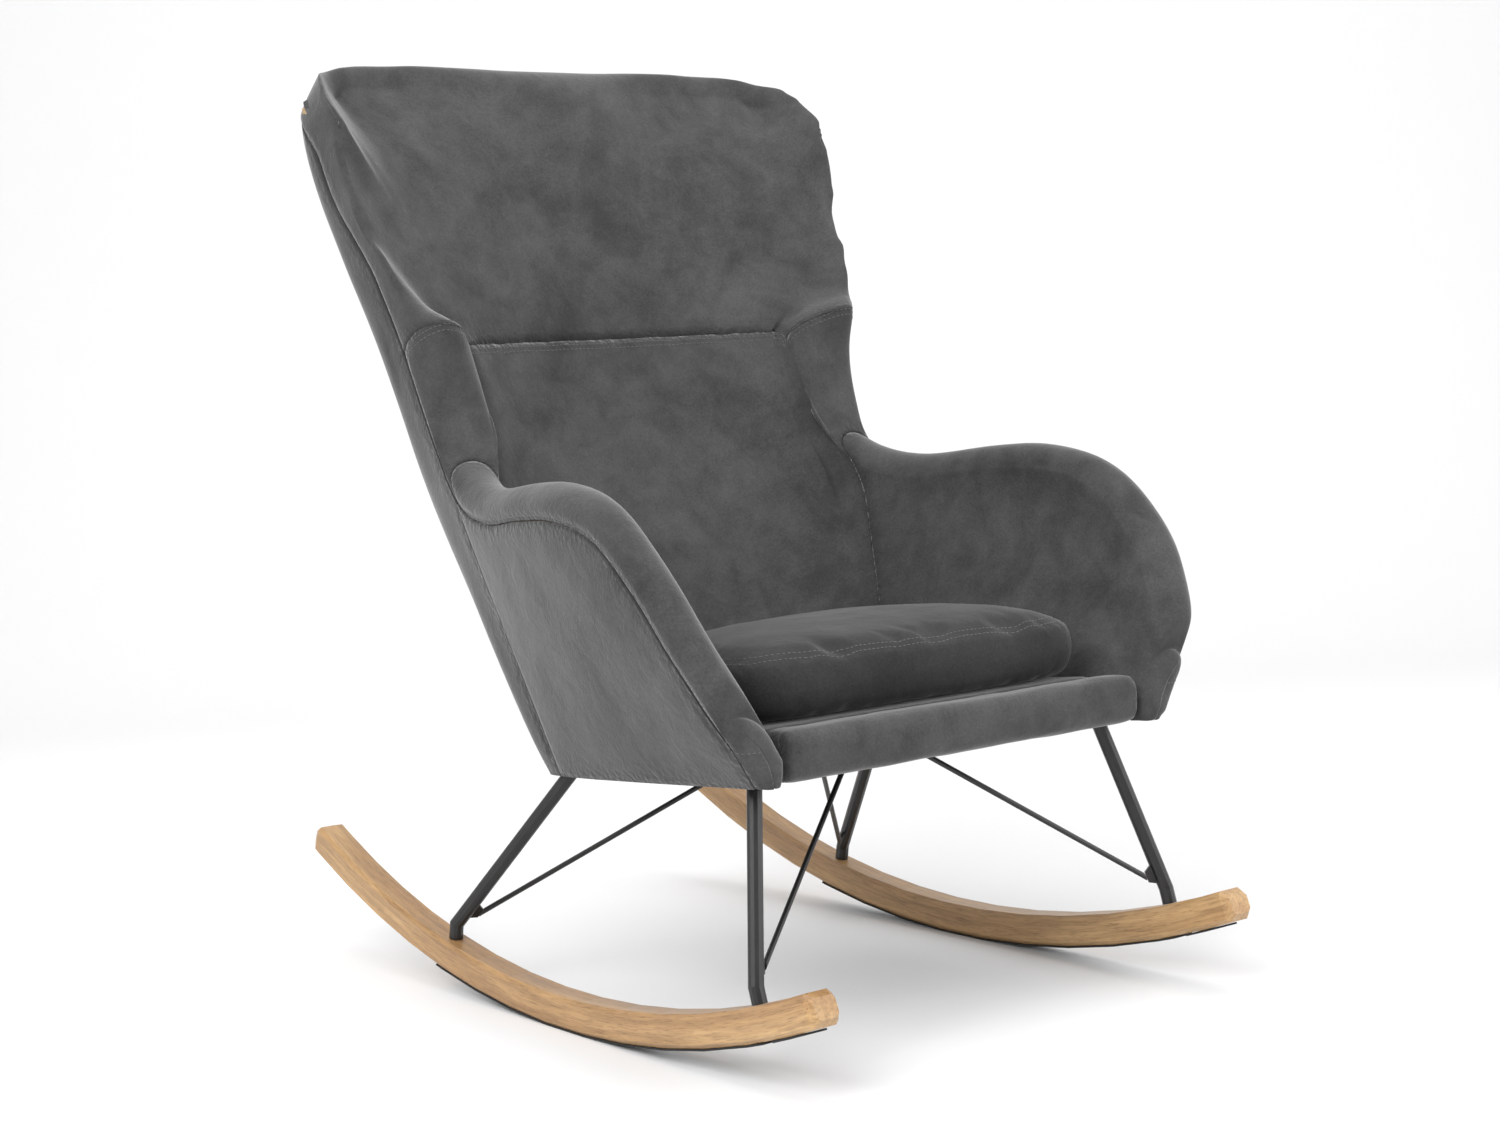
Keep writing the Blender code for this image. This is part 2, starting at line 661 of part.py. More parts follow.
def make_base_frame():
    """Two side bars and two cross bars under the seat board, with bolts up into captive nuts."""
    width = SHELL_WIDTH / DRAWN_WIDTH
    low = SKIRT - DUST_COVER - BAR_THICK - 2 * GAP
    high = low + BAR_THICK
    front = Vector((FRONT_TOP[0] * width, FRONT_TOP[1]))
    rear = Vector((REAR_TOP[0] * width, REAR_TOP[1]))
    run = (rear - front).normalized()
    across = Vector((run.y, -run.x))
    tip_front = front - run * BAR_PAST_FRONT_LEG
    tip_rear = rear + run * BAR_PAST_REAR_LEG
    half = BAR_WIDTH / 2
    corners = [tip_front - across * half, tip_front + across * half]
    corners += [tip_rear + across * half, tip_rear - across * half]
    bars = {}
    for side, label in ((1, "right"), (-1, "left")):
        outline = [(side * corner.x, corner.y) for corner in corners]
        bars[label] = prism(f"side_bar_{label}", outline, low, high, "black_metal")
    for label, y in (("front", FRONT_CROSS_Y), ("rear", REAR_CROSS_Y)):
        middle = front + run * ((y - front.y) / run.y)
        reach = middle.x - half / run.y - 2 * GAP - half * abs(run.x / run.y)
        outline = [(-reach, y - half), (reach, y - half), (reach, y + half), (-reach, y + half)]
        prism(f"cross_bar_{label}", outline, low, high, "black_metal")

    board_low = SKIRT
    inset = COVER + 2 * GAP
    outline = cropped(bottom_outline(inset), ROLL_FRONT + ROLL_DEPTH + GAP)
    board = prism("seat_board", outline, board_low, board_low + SEAT_BOARD_THICK, "plywood")
    thin = cropped(bottom_outline(inset + 0.001), ROLL_FRONT + ROLL_DEPTH)
    cloth = prism("dust_cover", thin, SKIRT - GAP - DUST_COVER, SKIRT - GAP, "dust_cloth")

    hole = BOLT_RADIUS + BOLT_CLEARANCE
    for side, label in ((1, "right"), (-1, "left")):
        for end, y in zip(("front", "rear"), BOLT_Y):
            spot = front + run * ((y - front.y) / run.y)
            centre = Vector((side * spot.x, y, underside(y)))
            up = Vector((0, 0, 1))
            key = f"{end}_{label}"
            cut(bars[label], f"bar_hole_{key}", centre, up, hole, 0.03)
            cut(cloth, f"cloth_hole_{key}", centre, up, hole, 0.03)
            middle = centre + up * (SKIRT + SEAT_BOARD_THICK / 2)
            cut(board, f"board_hole_{key}", middle, up, NUT_RADIUS + BOLT_CLEARANCE, 0.04)
            head_top = centre + up * (low - 0.0016)
            head = head_top - up * BOLT_HEAD_HEIGHT
            rings = [
                circle(head, up, BOLT_HEAD_RADIUS * 0.7, 12),
                circle(head_top, up, BOLT_HEAD_RADIUS, 12),
                circle(head_top, up, BOLT_RADIUS, 12),
                circle(centre + up * (SKIRT + 0.009), up, BOLT_RADIUS, 12),
            ]
            finish(f"frame_bolt_{key}", loft(rings), "zinc")
            bottom = centre + up * (SKIRT + 0.0012)
            top = centre + up * (SKIRT + SEAT_BOARD_THICK - 0.0012)
            rings = [circle(bottom, up, NUT_RADIUS, 12), circle(top, up, NUT_RADIUS, 12)]
            rings += [circle(top, up, hole, 12), circle(bottom, up, hole, 12)]
            finish(f"captive_nut_{key}", ring_of_loops(rings), "zinc")


# Upholstered shell ---------------------------------------------------------------------------
def make_shell():
    surface = skin(0)
    under_cover = skin(COVER)
    foam_face = skin(COVER + GAP)
    channel = hollow()
    sprung = hollow(BACK_FOAM)

    arm_right = range(0, AFTER_ARM - 1)
    back = range(AFTER_ARM, FACES - AFTER_ARM)
    arm_left = range(FACES - AFTER_ARM + 1, FACES)
    upper = range(AFTER_SHOULDER, FACES - AFTER_SHOULDER)
    wing_right = range(AFTER_ARM, AFTER_SHOULDER - 1)
    wing_left = range(FACES - AFTER_SHOULDER + 1, FACES - AFTER_ARM)
    above_foot = range(WALL_FOOT, INNER_LAST)
    wrapped = range(SEAM_HIGH, INNER_LAST)

    for name, columns, inside in (
        ("arm_foam_right", arm_right, channel),
        ("back_foam", back, sprung),
        ("arm_foam_left", arm_left, channel),
    ):
        patch(name, block(columns, above_foot), foam_face, inside, "foam")
    for name, columns in (("right", arm_right), ("left", arm_left)):
        patch(f"arm_cover_inner_{name}", block(columns, wrapped), surface, under_cover, "velvet")
        patch(f"arm_cover_outer_{name}", block(columns, range(HEM, SEAM_LOW)), surface, under_cover, "velvet")
    patch("rear_cover", block(back, range(HEM, SEAM_LOW)), surface, under_cover, "velvet")
    patch("back_cover_upper", block(upper, range(SEAM_HIGH, SHOULDER_HIGH)), surface, under_cover, "velvet")
    lower = block(upper, range(SHOULDER_LOW, INNER_LAST))
    # The lower panel passes the ends of the shoulder seam and wraps the wings below it.
    lower |= block((AFTER_SHOULDER - 1, FACES - AFTER_SHOULDER), range(SHOULDER_LOW, INNER_LAST))
    lower |= block(wing_right, wrapped) | block(wing_left, wrapped)
    patch("back_cover_lower", lower, surface, under_cover, "velvet")

    # The board's rows match the foam's, apart from the rows above the board's top edge.
    top = BOARD_RISE - 2 * (FRAME_TUBE_RADIUS + TUBE_CLEARANCE) - GAP
    loops, tube = [], []
    for section, (outer, inner) in zip(WALL_SECTIONS, SECTION_ROWS):
        near = BOARD_INSET + GAP
        far = near + BOARD_THICK
        highest = -top / section.reach
        loop = [section.at_depth(down, near) for down in (*outer[WALL_FOOT:SEAM_HIGH], highest)]
        loop += [section.at_depth(down, far) for down in (highest, *inner[1:])]
        loops.append(loop)
        ring = []
        for k in range(TUBE_SIDES):
            angle = 2 * math.pi * (k + 0.5) / TUBE_SIDES
            down = FRAME_TUBE_RADIUS * (1 + math.sin(angle)) + TUBE_CLEARANCE - BOARD_RISE
            depth = BOARD_INSET + CHANNEL / 2 + FRAME_TUBE_RADIUS * math.cos(angle)
            ring.append(section.at_depth(down / section.reach, depth))
        tube.append(ring)
    finish("shell_board", layered_loft(loops), "plywood")
    finish("rim_rod", layered_loft(tube), "black_metal")


def roll_half_width():
    """Half the least clear width between the arms beside the front roll."""
    least = SHELL_WIDTH
    for section, (_, inner) in zip(WALL_SECTIONS[:4], SECTION_ROWS[:4]):
        for down in inner:
            x, y, z = section.at_depth(down, 0, inner=True)
            if z < underside(y) + SKIRT + SEAT_BOARD_THICK + DECK_FOAM + 0.02:
                least = min(least, abs(x))
    return least - 2 * GAP


def make_seat():
    """The front roll and the seat deck, between the arms."""
    base = SKIRT + SEAT_BOARD_THICK + GAP
    height = base + DECK_FOAM - SKIRT
    centre_y = ROLL_FRONT + ROLL_DEPTH / 2
    half = roll_half_width()
    rings = []
    padding = COVER + GAP + RAIL_PADDING
    for depth in (0, -COVER, -COVER - GAP, -padding, -padding - GAP):
        ring = []
        for k in range(16):
            angle = 2 * math.pi * (k + 0.5) / 16
            dy = math.copysign(abs(math.cos(angle)) ** ROLL_SQUARENESS, math.cos(angle))
            dz = math.copysign(abs(math.sin(angle)) ** ROLL_SQUARENESS, math.sin(angle))
            y = centre_y + dy * (ROLL_DEPTH / 2 + depth)
            ring.append((y, underside(y) + SKIRT + height / 2 + dz * (height / 2 + depth)))
        rings.append([[(side * half, y, z) for y, z in ring] for side in (-1, 1)])
    outer, inner, foam, bore, rail = rings
    finish("front_rail", loft(rail), "plywood")
    finish("roll_foam", ring_of_loops([*foam, bore[1], bore[0]]), "foam")
    finish("roll_cover", ring_of_loops([*outer, inner[1], inner[0]]), "velvet")

    deck_front = ROLL_FRONT + ROLL_DEPTH + GAP
    outline = []
    for section, (_, inner) in zip(WALL_SECTIONS, SECTION_ROWS):
        top = section.at_depth(inner[-1], 0, inner=True)
        outline.append((top[0], top[1]))
    inset = 0.0025
    shrunk = []
    for k, (x, y) in enumerate(outline):
        if y < deck_front:
            continue
        before = Vector(outline[max(k - 1, 0)])
        after = Vector(outline[min(k + 1, len(outline) - 1)])
        run = (after - before).normalized()
        shrunk.append((x - run.y * inset, y + run.x * inset))
    shrunk = [(shrunk[0][0], deck_front), *shrunk, (shrunk[-1][0], deck_front)]
    prism("deck_foam", shrunk, base, base + DECK_FOAM, "foam")
    prism("deck_cover", shrunk, base + DECK_FOAM + GAP, base + DECK_FOAM + GAP + COVER, "velvet")


# Loose cushion -------------------------------------------------------------------------------
def cushion_outline(angle, grow):
    """Plan outline of the cushion: a rounded D, wider at the front."""
    half_depth = (CUSHION_REAR - CUSHION_FRONT) / 2 + grow
    middle = (CUSHION_REAR + CUSHION_FRONT) / 2
    exponent = CUSHION_CORNER if math.cos(angle) < 0 else CUSHION_REAR_CORNER
    power = 2 / exponent
    dx = math.copysign(abs(math.sin(angle)) ** power, math.sin(angle))
    dy = math.copysign(abs(math.cos(angle)) ** power, math.cos(angle))
    taper = 1 - 0.09 * (dy + 1)
    return dx * (CUSHION_HALF_WIDTH * taper + grow), middle + dy * half_depth


def cushion_rings(grow):
    """Rings from the bottom edge up the side and in over the crowned top."""
    base = SKIRT + SEAT_BOARD_THICK + DECK_FOAM + COVER + 5 * GAP + COVER
    count = 28
    levels = [(0.97, 0.0), (1.0, 0.35), (1.0, 0.7), (0.975, 1.0)]
    rings = []
    for scale, share in levels:
        rings.append((scale, base + CUSHION_EDGE * share))
    for scale in (0.86, 0.66, 0.40, 0.16):
        rise = CUSHION_CROWN * (1 - scale**2.4)
        rings.append((scale, base + CUSHION_EDGE + 0.003 + rise))
    made = []
    for k, (scale, rise) in enumerate(rings):
        lift = grow if k > 2 else 0
        loop = []
        for step in range(count):
            x, y = cushion_outline(2 * math.pi * step / count, grow)
            middle = (CUSHION_REAR + CUSHION_FRONT) / 2
            x, y = x * scale, middle + (y - middle) * scale
            loop.append((x, y, underside(y) + rise + lift))
        made.append(loop)
    return made


def make_cushion():
    foam = cushion_rings(-COVER - GAP)
    finish("cushion_foam", loft(foam), "foam")
    outer = cushion_rings(0)
    inner = cushion_rings(-COVER)
    made = bmesh.new()
    rows = []
    for loops in (outer, inner):
        rows.append([[made.verts.new(point) for point in loop] for loop in loops])
    count = len(outer[0])
    for row in rows:
        for low, high in zip(row, row[1:]):
            for i in range(count):
                k = (i + 1) % count
                made.faces.new((low[i], low[k], high[k], high[i]))
        made.faces.new(row[-1])
    for i in range(count):
        k = (i + 1) % count
        made.faces.new((rows[0][0][i], rows[0][0][k], rows[1][0][k], rows[1][0][i]))
    finish("cushion_cover", made, "cushion_velvet")
    bottom = [(x * 0.985, y) for x, y, _ in cushion_rings(-COVER)[0]]
    low = SKIRT + SEAT_BOARD_THICK + DECK_FOAM + COVER + 3 * GAP
    prism("cushion_bottom", bottom, low, low + COVER, "cushion_velvet")
    # A zip runs along the back of the side band.
    zip_rows = [np.array(cushion_rings(depth)[1:3]) for depth in (GAP, GAP + 0.0012)]
    middle = len(outer[0])
    grids = [np.concatenate([rows_[:, -3:], rows_[:, :4]], axis=1).transpose(1, 0, 2) for rows_ in zip_rows]
    cells = block(range(6), range(1))
    for grid in grids:
        low_row = grid[:, 0] * 0.6 + grid[:, 1] * 0.4
        high_row = grid[:, 0] * 0.4 + grid[:, 1] * 0.6
        grid[:, 0], grid[:, 1] = low_row, high_row
    patch("cushion_zip", cells, grids[1], grids[0], "rubber")


def main():
    clear_scene()
    for side, label in ((1, "right"), (-1, "left")):
        make_rocker(side, label)
        for end, foot_y, top, cross_y in (
            ("front", FRONT_FOOT_Y, FRONT_TOP, FRONT_CROSS_Y),
            ("rear", REAR_FOOT_Y, REAR_TOP, REAR_CROSS_Y),
        ):
            make_leg(f"{end}_{label}", side, foot_y, top)
            make_brace(f"{end}_{label}", side, foot_y, top, cross_y)
    make_base_frame()
    make_shell()
    make_seat()
    make_cushion()


main()
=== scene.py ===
"""Wingback rocking chair in charcoal velvet on bent oak rockers: looks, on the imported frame."""

import json
import math

import bmesh
import bpy
import numpy as np
from mathutils import Matrix, Vector, noise
from mathutils.bvhtree import BVHTree
from mathutils.kdtree import KDTree


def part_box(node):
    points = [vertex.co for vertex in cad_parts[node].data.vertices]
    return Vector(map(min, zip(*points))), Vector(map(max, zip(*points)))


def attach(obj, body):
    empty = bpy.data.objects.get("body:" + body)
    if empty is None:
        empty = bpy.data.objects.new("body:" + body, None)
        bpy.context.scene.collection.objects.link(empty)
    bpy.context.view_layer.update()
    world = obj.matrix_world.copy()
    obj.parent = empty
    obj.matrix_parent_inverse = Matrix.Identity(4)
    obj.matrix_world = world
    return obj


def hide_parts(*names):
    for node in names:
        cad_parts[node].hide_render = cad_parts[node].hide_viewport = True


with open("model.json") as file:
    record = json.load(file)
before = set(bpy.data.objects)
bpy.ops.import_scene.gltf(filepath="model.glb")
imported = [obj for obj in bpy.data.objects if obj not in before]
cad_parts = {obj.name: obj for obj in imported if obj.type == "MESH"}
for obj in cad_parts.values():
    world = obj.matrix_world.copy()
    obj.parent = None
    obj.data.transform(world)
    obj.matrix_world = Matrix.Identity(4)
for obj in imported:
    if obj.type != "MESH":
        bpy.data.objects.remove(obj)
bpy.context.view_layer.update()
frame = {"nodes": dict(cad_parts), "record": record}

# Shell, as in the frame ----------------------------------------------------------------------
ROW_Y = -0.051
UNDERSIDE = 0.2527
UNDERSIDE_SLOPE = -0.0765
ARM_WALL = 0.048
BACK_WALL = 0.076
SIDE_SEAM = 0.012
SHOULDER_Z = 0.700
JUNCTION = 8
SHOULDER = 10
LEAST_REACH = 0.85
WALL_CLEAR = 0.0245  # the inner cover goes down to here above the underside
STATIONS = (0.0, 0.22, 0.42, 0.58, 0.80, 1.0)
RIBS = {
    0.25: ((0, 0.148), (0.120, 0.142), (0.222, 0.100), (0.241, 0.050), (0.252, -0.10), (0.250, -0.33)),
    0.33: ((0, 0.198), (0.130, 0.190), (0.238, 0.135), (0.257, 0.075), (0.285, -0.10), (0.300, -0.33)),
    0.41: ((0, 0.240), (0.140, 0.230), (0.248, 0.175), (0.271, 0.105), (0.312, -0.10), (0.338, -0.33)),
    0.54: ((0, 0.302), (0.150, 0.290), (0.262, 0.240), (0.290, 0.155), (0.341, -0.10), (0.360, -0.33)),
    0.70: ((0, 0.357), (0.165, 0.345), (0.282, 0.296), (0.297, 0.220), (0.350, -0.10), (0.365, -0.33)),
    0.88: ((0, 0.407), (0.180, 0.395), (0.316, 0.352), (0.336, 0.268), (0.370, -0.10), (0.370, -0.33)),
    1.02: ((0, 0.430), (0.185, 0.418), (0.328, 0.378), (0.350, 0.298), (0.380, -0.10), (0.375, -0.33)),
}
WALL_LOW = ((0, -0.084), (-0.025, -0.082), (-0.046, -0.062), (-0.046, -0.016), (-ARM_WALL, 0), (-ARM_WALL, 0))
WALL_HIGH = (
    (0, -0.086),
    (-0.035, -0.084),
    (-0.078, -0.064),
    (-BACK_WALL, -0.006),
    (-BACK_WALL, 0),
    (-BACK_WALL, 0),
)
WALL_BLEND = (0.50, 0.62)
RIM = (
    (0.985, 0.322, 0.985, 0.0),
    (0.980, 0.362, 0.945, 0.5),
    (0.962, 0.408, 0.900, 0.7),
    (0.932, 0.463, 0.845, 0.7),
    (0.877, 0.518, 0.790, 0.5),
    (0.809, 0.535, 0.735, 0.2),
    (0.740, 0.533, 0.680, 0.0),
    (0.660, 0.526, 0.625, 0.0),
    (0.592, 0.548, 0.575, 0.2),
    (0.580, 0.610, 0.520, 0.6),
    (0.580, 0.700, 0.460, 0.8),
    (0.580, 0.780, 0.400, 0.9),
    (0.580, 0.875, 0.340, 0.9),
    (0.560, 0.938, 0.280, 0.8),
    (0.480, 0.966, 0.225, 0.6),
    (0.360, 0.973, 0.165, 0.35),
    (0.180, 0.9755, 0.085, 0.1),
    (0.0, 0.976, 0.0, 0.0),
)
RIB_HEIGHTS = np.array(list(RIBS))
RIB_POINTS = np.array(list(RIBS.values()))


def spline(knots, values, at):
    knots = np.asarray(knots, float)
    values = np.asarray(values, float)
    slopes = np.gradient(values, knots, axis=0)
    k = int(np.clip(np.searchsorted(knots, at) - 1, 0, len(knots) - 2))
    width = knots[k + 1] - knots[k]
    t = (at - knots[k]) / width
    if t < 0 or t > 1:
        end = k if t < 0 else k + 1
        return values[end] + (at - knots[end]) * slopes[end]
    blend = (2 * t**3 - 3 * t**2 + 1, t**3 - 2 * t**2 + t, 3 * t**2 - 2 * t**3, t**3 - t**2)
    return (
        blend[0] * values[k]
        + blend[1] * width * slopes[k]
        + blend[2] * values[k + 1]
        + blend[3] * width * slopes[k + 1]
    )


def outer_face(station, height):
    rib = spline(RIB_HEIGHTS, RIB_POINTS, height)
    return spline(STATIONS, rib, station)


def wall(station, height):
    share = np.clip((height - WALL_BLEND[0]) / (WALL_BLEND[1] - WALL_BLEND[0]), 0, 1)
    share = share * share * (3 - 2 * share)
    low = spline(STATIONS, WALL_LOW, station)
    high = spline(STATIONS, WALL_HIGH, station)
    return low + (high - low) * share


def underside(y):
    return UNDERSIDE + UNDERSIDE_SLOPE * y


class Section:
    """One section of the shell wall, from the rim down to the seat, as the frame has it."""

    def __init__(self, at):
        self.at = at
        station, height, foot, square = spline(range(len(RIM)), RIM, at)
        self.rim = np.array((station, height))
        self.foot = np.array((foot, underside(outer_face(foot, 0.25)[1])))
        corner = self.rim + (self.foot - self.rim) * np.array((square, (1 - square) / 2))
        self.corner = corner if square > 0 else (self.rim + self.foot) / 2
        self.thick = np.linalg.norm(wall(*self.rim))
        self.reach = 1.0

    def measure(self, behind, ahead):
        run = ahead.point(0, 0.5) - behind.point(0, 0.5)
        run /= np.linalg.norm(run)
        step = (self.point(0.02, 0.5) - self.point(0, 0.5)) / 0.02
        whole = np.linalg.norm(step)
        self.reach = max(np.linalg.norm(step - run * step.dot(run)), LEAST_REACH * whole)

    def station(self, down):
        if down < 0:
            return self.rim + 2 * down * (self.corner - self.rim)
        rise = 1 - down
        return rise * rise * self.rim + 2 * rise * down * self.corner + down * down * self.foot

    def point(self, down, across):
        station, height = self.station(down)
        x, y = outer_face(station, height) + across * wall(station, height)
        return np.array((x, y, height))

    def down_to(self, clear):
        low, high = 0.3, 1.0
        for _ in range(24):
            middle = (low + high) / 2
            inner = self.point(middle, 1)
            low, high = (middle, high) if inner[2] > underside(inner[1]) + clear else (low, middle)
        return low

    def down_to_height(self, z, least):
        down = least
        while down < 0.7 and self.point(down, 1)[2] > z:
            down += 0.002
        return down


# Fine grid over the shell --------------------------------------------------------------------
STEP = 1 / 8
SPLIT = 0.012
CAP = 12
HALF_SEAM = 0.0004


def columns():
    last = len(RIM) - 1
    values = []
    for k in range(round(last / STEP) + 1):
        at = k * STEP
        values += [at - SPLIT, at + SPLIT] if at in (JUNCTION, SHOULDER) else [at]
    made = [Section(at) for at in values]
    for k, section in enumerate(made):
        ahead = made[min(k + 1, len(made) - 1)]
        section.measure(made[max(k - 1, 0)], ahead)
    return values, made


def rows_of(section):
    foot = section.down_to(WALL_CLEAR)
    seam = SIDE_SEAM / section.reach
    half = HALF_SEAM / section.reach
    shoulder = section.down_to_height(SHOULDER_Z, 0.08)
    outer = list(np.linspace(1.0, seam + half, OUTER)) + list(np.linspace(seam - half, 0, WRAP))
    inner = list(np.linspace(0, shoulder - half, UPPER)) + list(np.linspace(shoulder + half, foot, LOWER))
    return outer, inner


OUTER, WRAP, UPPER, LOWER = 28, 4, 16, 30
SEAM_LOW, SEAM_HIGH = OUTER - 1, OUTER
TOP_ROW = OUTER + WRAP + CAP + UPPER - 1
FOOT_ROW = OUTER + WRAP + CAP + UPPER + LOWER - 1


def shell_grid():
    values, made = columns()
    grid = []
    for section in made:
        outer, inner = rows_of(section)
        line = [section.point(down, 0) for down in outer]
        radius = section.thick / 2
        for k in range(CAP):
            angle = math.pi * (k + 1) / (CAP + 1)
            rise = radius * math.sin(angle) / section.reach
            line.append(section.point(-rise, 0.5 - 0.5 * math.cos(angle)))
        line += [section.point(down, 1) for down in inner]
        grid.append(line)
    right = np.array(grid)
    right[:, :, 1] += ROW_Y
    left = right[-2::-1].copy()
    left[:, :, 0] *= -1
    return values, np.concatenate([right, left])


VALUES, GRID = shell_grid()
COLUMNS = len(GRID)
AFTER_ARM = VALUES.index(JUNCTION + SPLIT)
AFTER_SHOULDER = VALUES.index(SHOULDER + SPLIT)


def wall_middles():
    """A point inside the wall for each grid point, to tell the panels' outer side."""
    _, made = columns()
    lines = []
    for section in made:
        outer, inner = rows_of(section)
        downs = [*outer, *[0] * CAP, *inner]
        lines.append([section.point(max(down, 0.02), 0.5) for down in downs])
    right = np.array(lines)
    right[:, :, 1] += ROW_Y
    left = right[-2::-1].copy()
    left[:, :, 0] *= -1
    return np.concatenate([right, left])


MIDS = wall_middles()


ARM_END = (0.95, 0.84, 0.68, 0.48, 0.24, 0.0)  # how far the arm's end has closed, ring by ring
END_BULGE = 0.0125
WING_ROUND = 0.030  # the wing's front edge stands this far ahead of its outer seam
TOP_ROUND = 0.040  # the same at the top of the back
EDGE_ROUND = 0.040  # how far in from the outline the edge is rounded
OUTLINE_CENTRE = 0.66
HOLLOW = 2.4  # how late the sweep turns forward towards the wing
ROUND_ROWS = 9
EASE_COLUMNS = 8
FOOT_DROP = 4  # rows that carry the inner face down past the roll's end


def pull_together(first, second, axis):
    """Brings the two lines of grid points either side of a seam almost together."""
    a = GRID[first] if axis == 0 else GRID[:, first]
    b = GRID[second] if axis == 0 else GRID[:, second]
    middle = (a + b) / 2
    gap = 0.00025
    apart = (b - a) / np.maximum(np.linalg.norm(b - a, axis=-1, keepdims=True), 1e-9)
    a[:] = middle - apart * gap
    b[:] = middle + apart * gap


def soften(rounds, first, last, low, high, strength=0.5):
    """Rounds off a block of the grid along its own normals, holding the block's border still."""
    hold = np.zeros((last - first, high - low))
    depth = 4
    for k in range(1, depth + 1):
        hold[k:-k, k:-k] = k / depth
    block = GRID[first:last, low:high]
    for _ in range(rounds):
        mean = block.copy()
        mean[1:-1, 1:-1] = (block[2:, 1:-1] + block[:-2, 1:-1] + block[1:-1, 2:] + block[1:-1, :-2]) / 4
        along = np.gradient(block, axis=0)
        down = np.gradient(block, axis=1)
        normal = np.cross(along, down)
        normal /= np.maximum(np.linalg.norm(normal, axis=-1, keepdims=True), 1e-12)
        move = ((mean - block) * normal).sum(axis=-1, keepdims=True) * normal
        block += strength * hold[..., None] * move


def round_corners(rounds):
    """Widens the turn of the rim at the top corners; the rear stays on the shell's outer face."""
    first, last = AFTER_SHOULDER + 4, COLUMNS - AFTER_SHOULDER - 4
    behind = GRID[:, : OUTER + WRAP + CAP // 2]
    count = behind.shape[1]
    faces = []
    for j in range(len(behind) - 1):
        for i in range(count - 1):
            a = j * count + i
            faces.append((a, a + 1, a + count + 1, a + count))
    shell = BVHTree.FromPolygons([tuple(point) for point in behind.reshape(-1, 3)], faces)
    rows = np.arange(SEAM_LOW - 10, OUTER + WRAP + CAP)
    share = np.clip((rows - rows[0]) / 8, 0, 1)[None, :, None]
    block = GRID[first:last, rows[0] : rows[-1] + 1]
    before = block.copy()
    for _ in range(rounds):
        mean = block.copy()
        mean[1:-1] = (block[2:] + block[:-2]) / 2
        block += 0.5 * share * (mean - block)
    kept = list(rows).index(OUTER + WRAP - 1)
    for j in range(len(block)):
        push = 0.0
        for i in range(len(rows)):
            if np.linalg.norm(block[j, i] - before[j, i]) < 0.0004:
                continue
            if i <= kept:
                x, _, z = block[j, i]
                hit = shell.ray_cast(Vector((x, 1.0, z)), Vector((0, -1, 0)))[0]
                push = max(hit.y - block[j, i, 1], 0.0) if hit else push
            block[j, i, 1] += push * min(1.0, (len(rows) - i) / (len(rows) - kept))


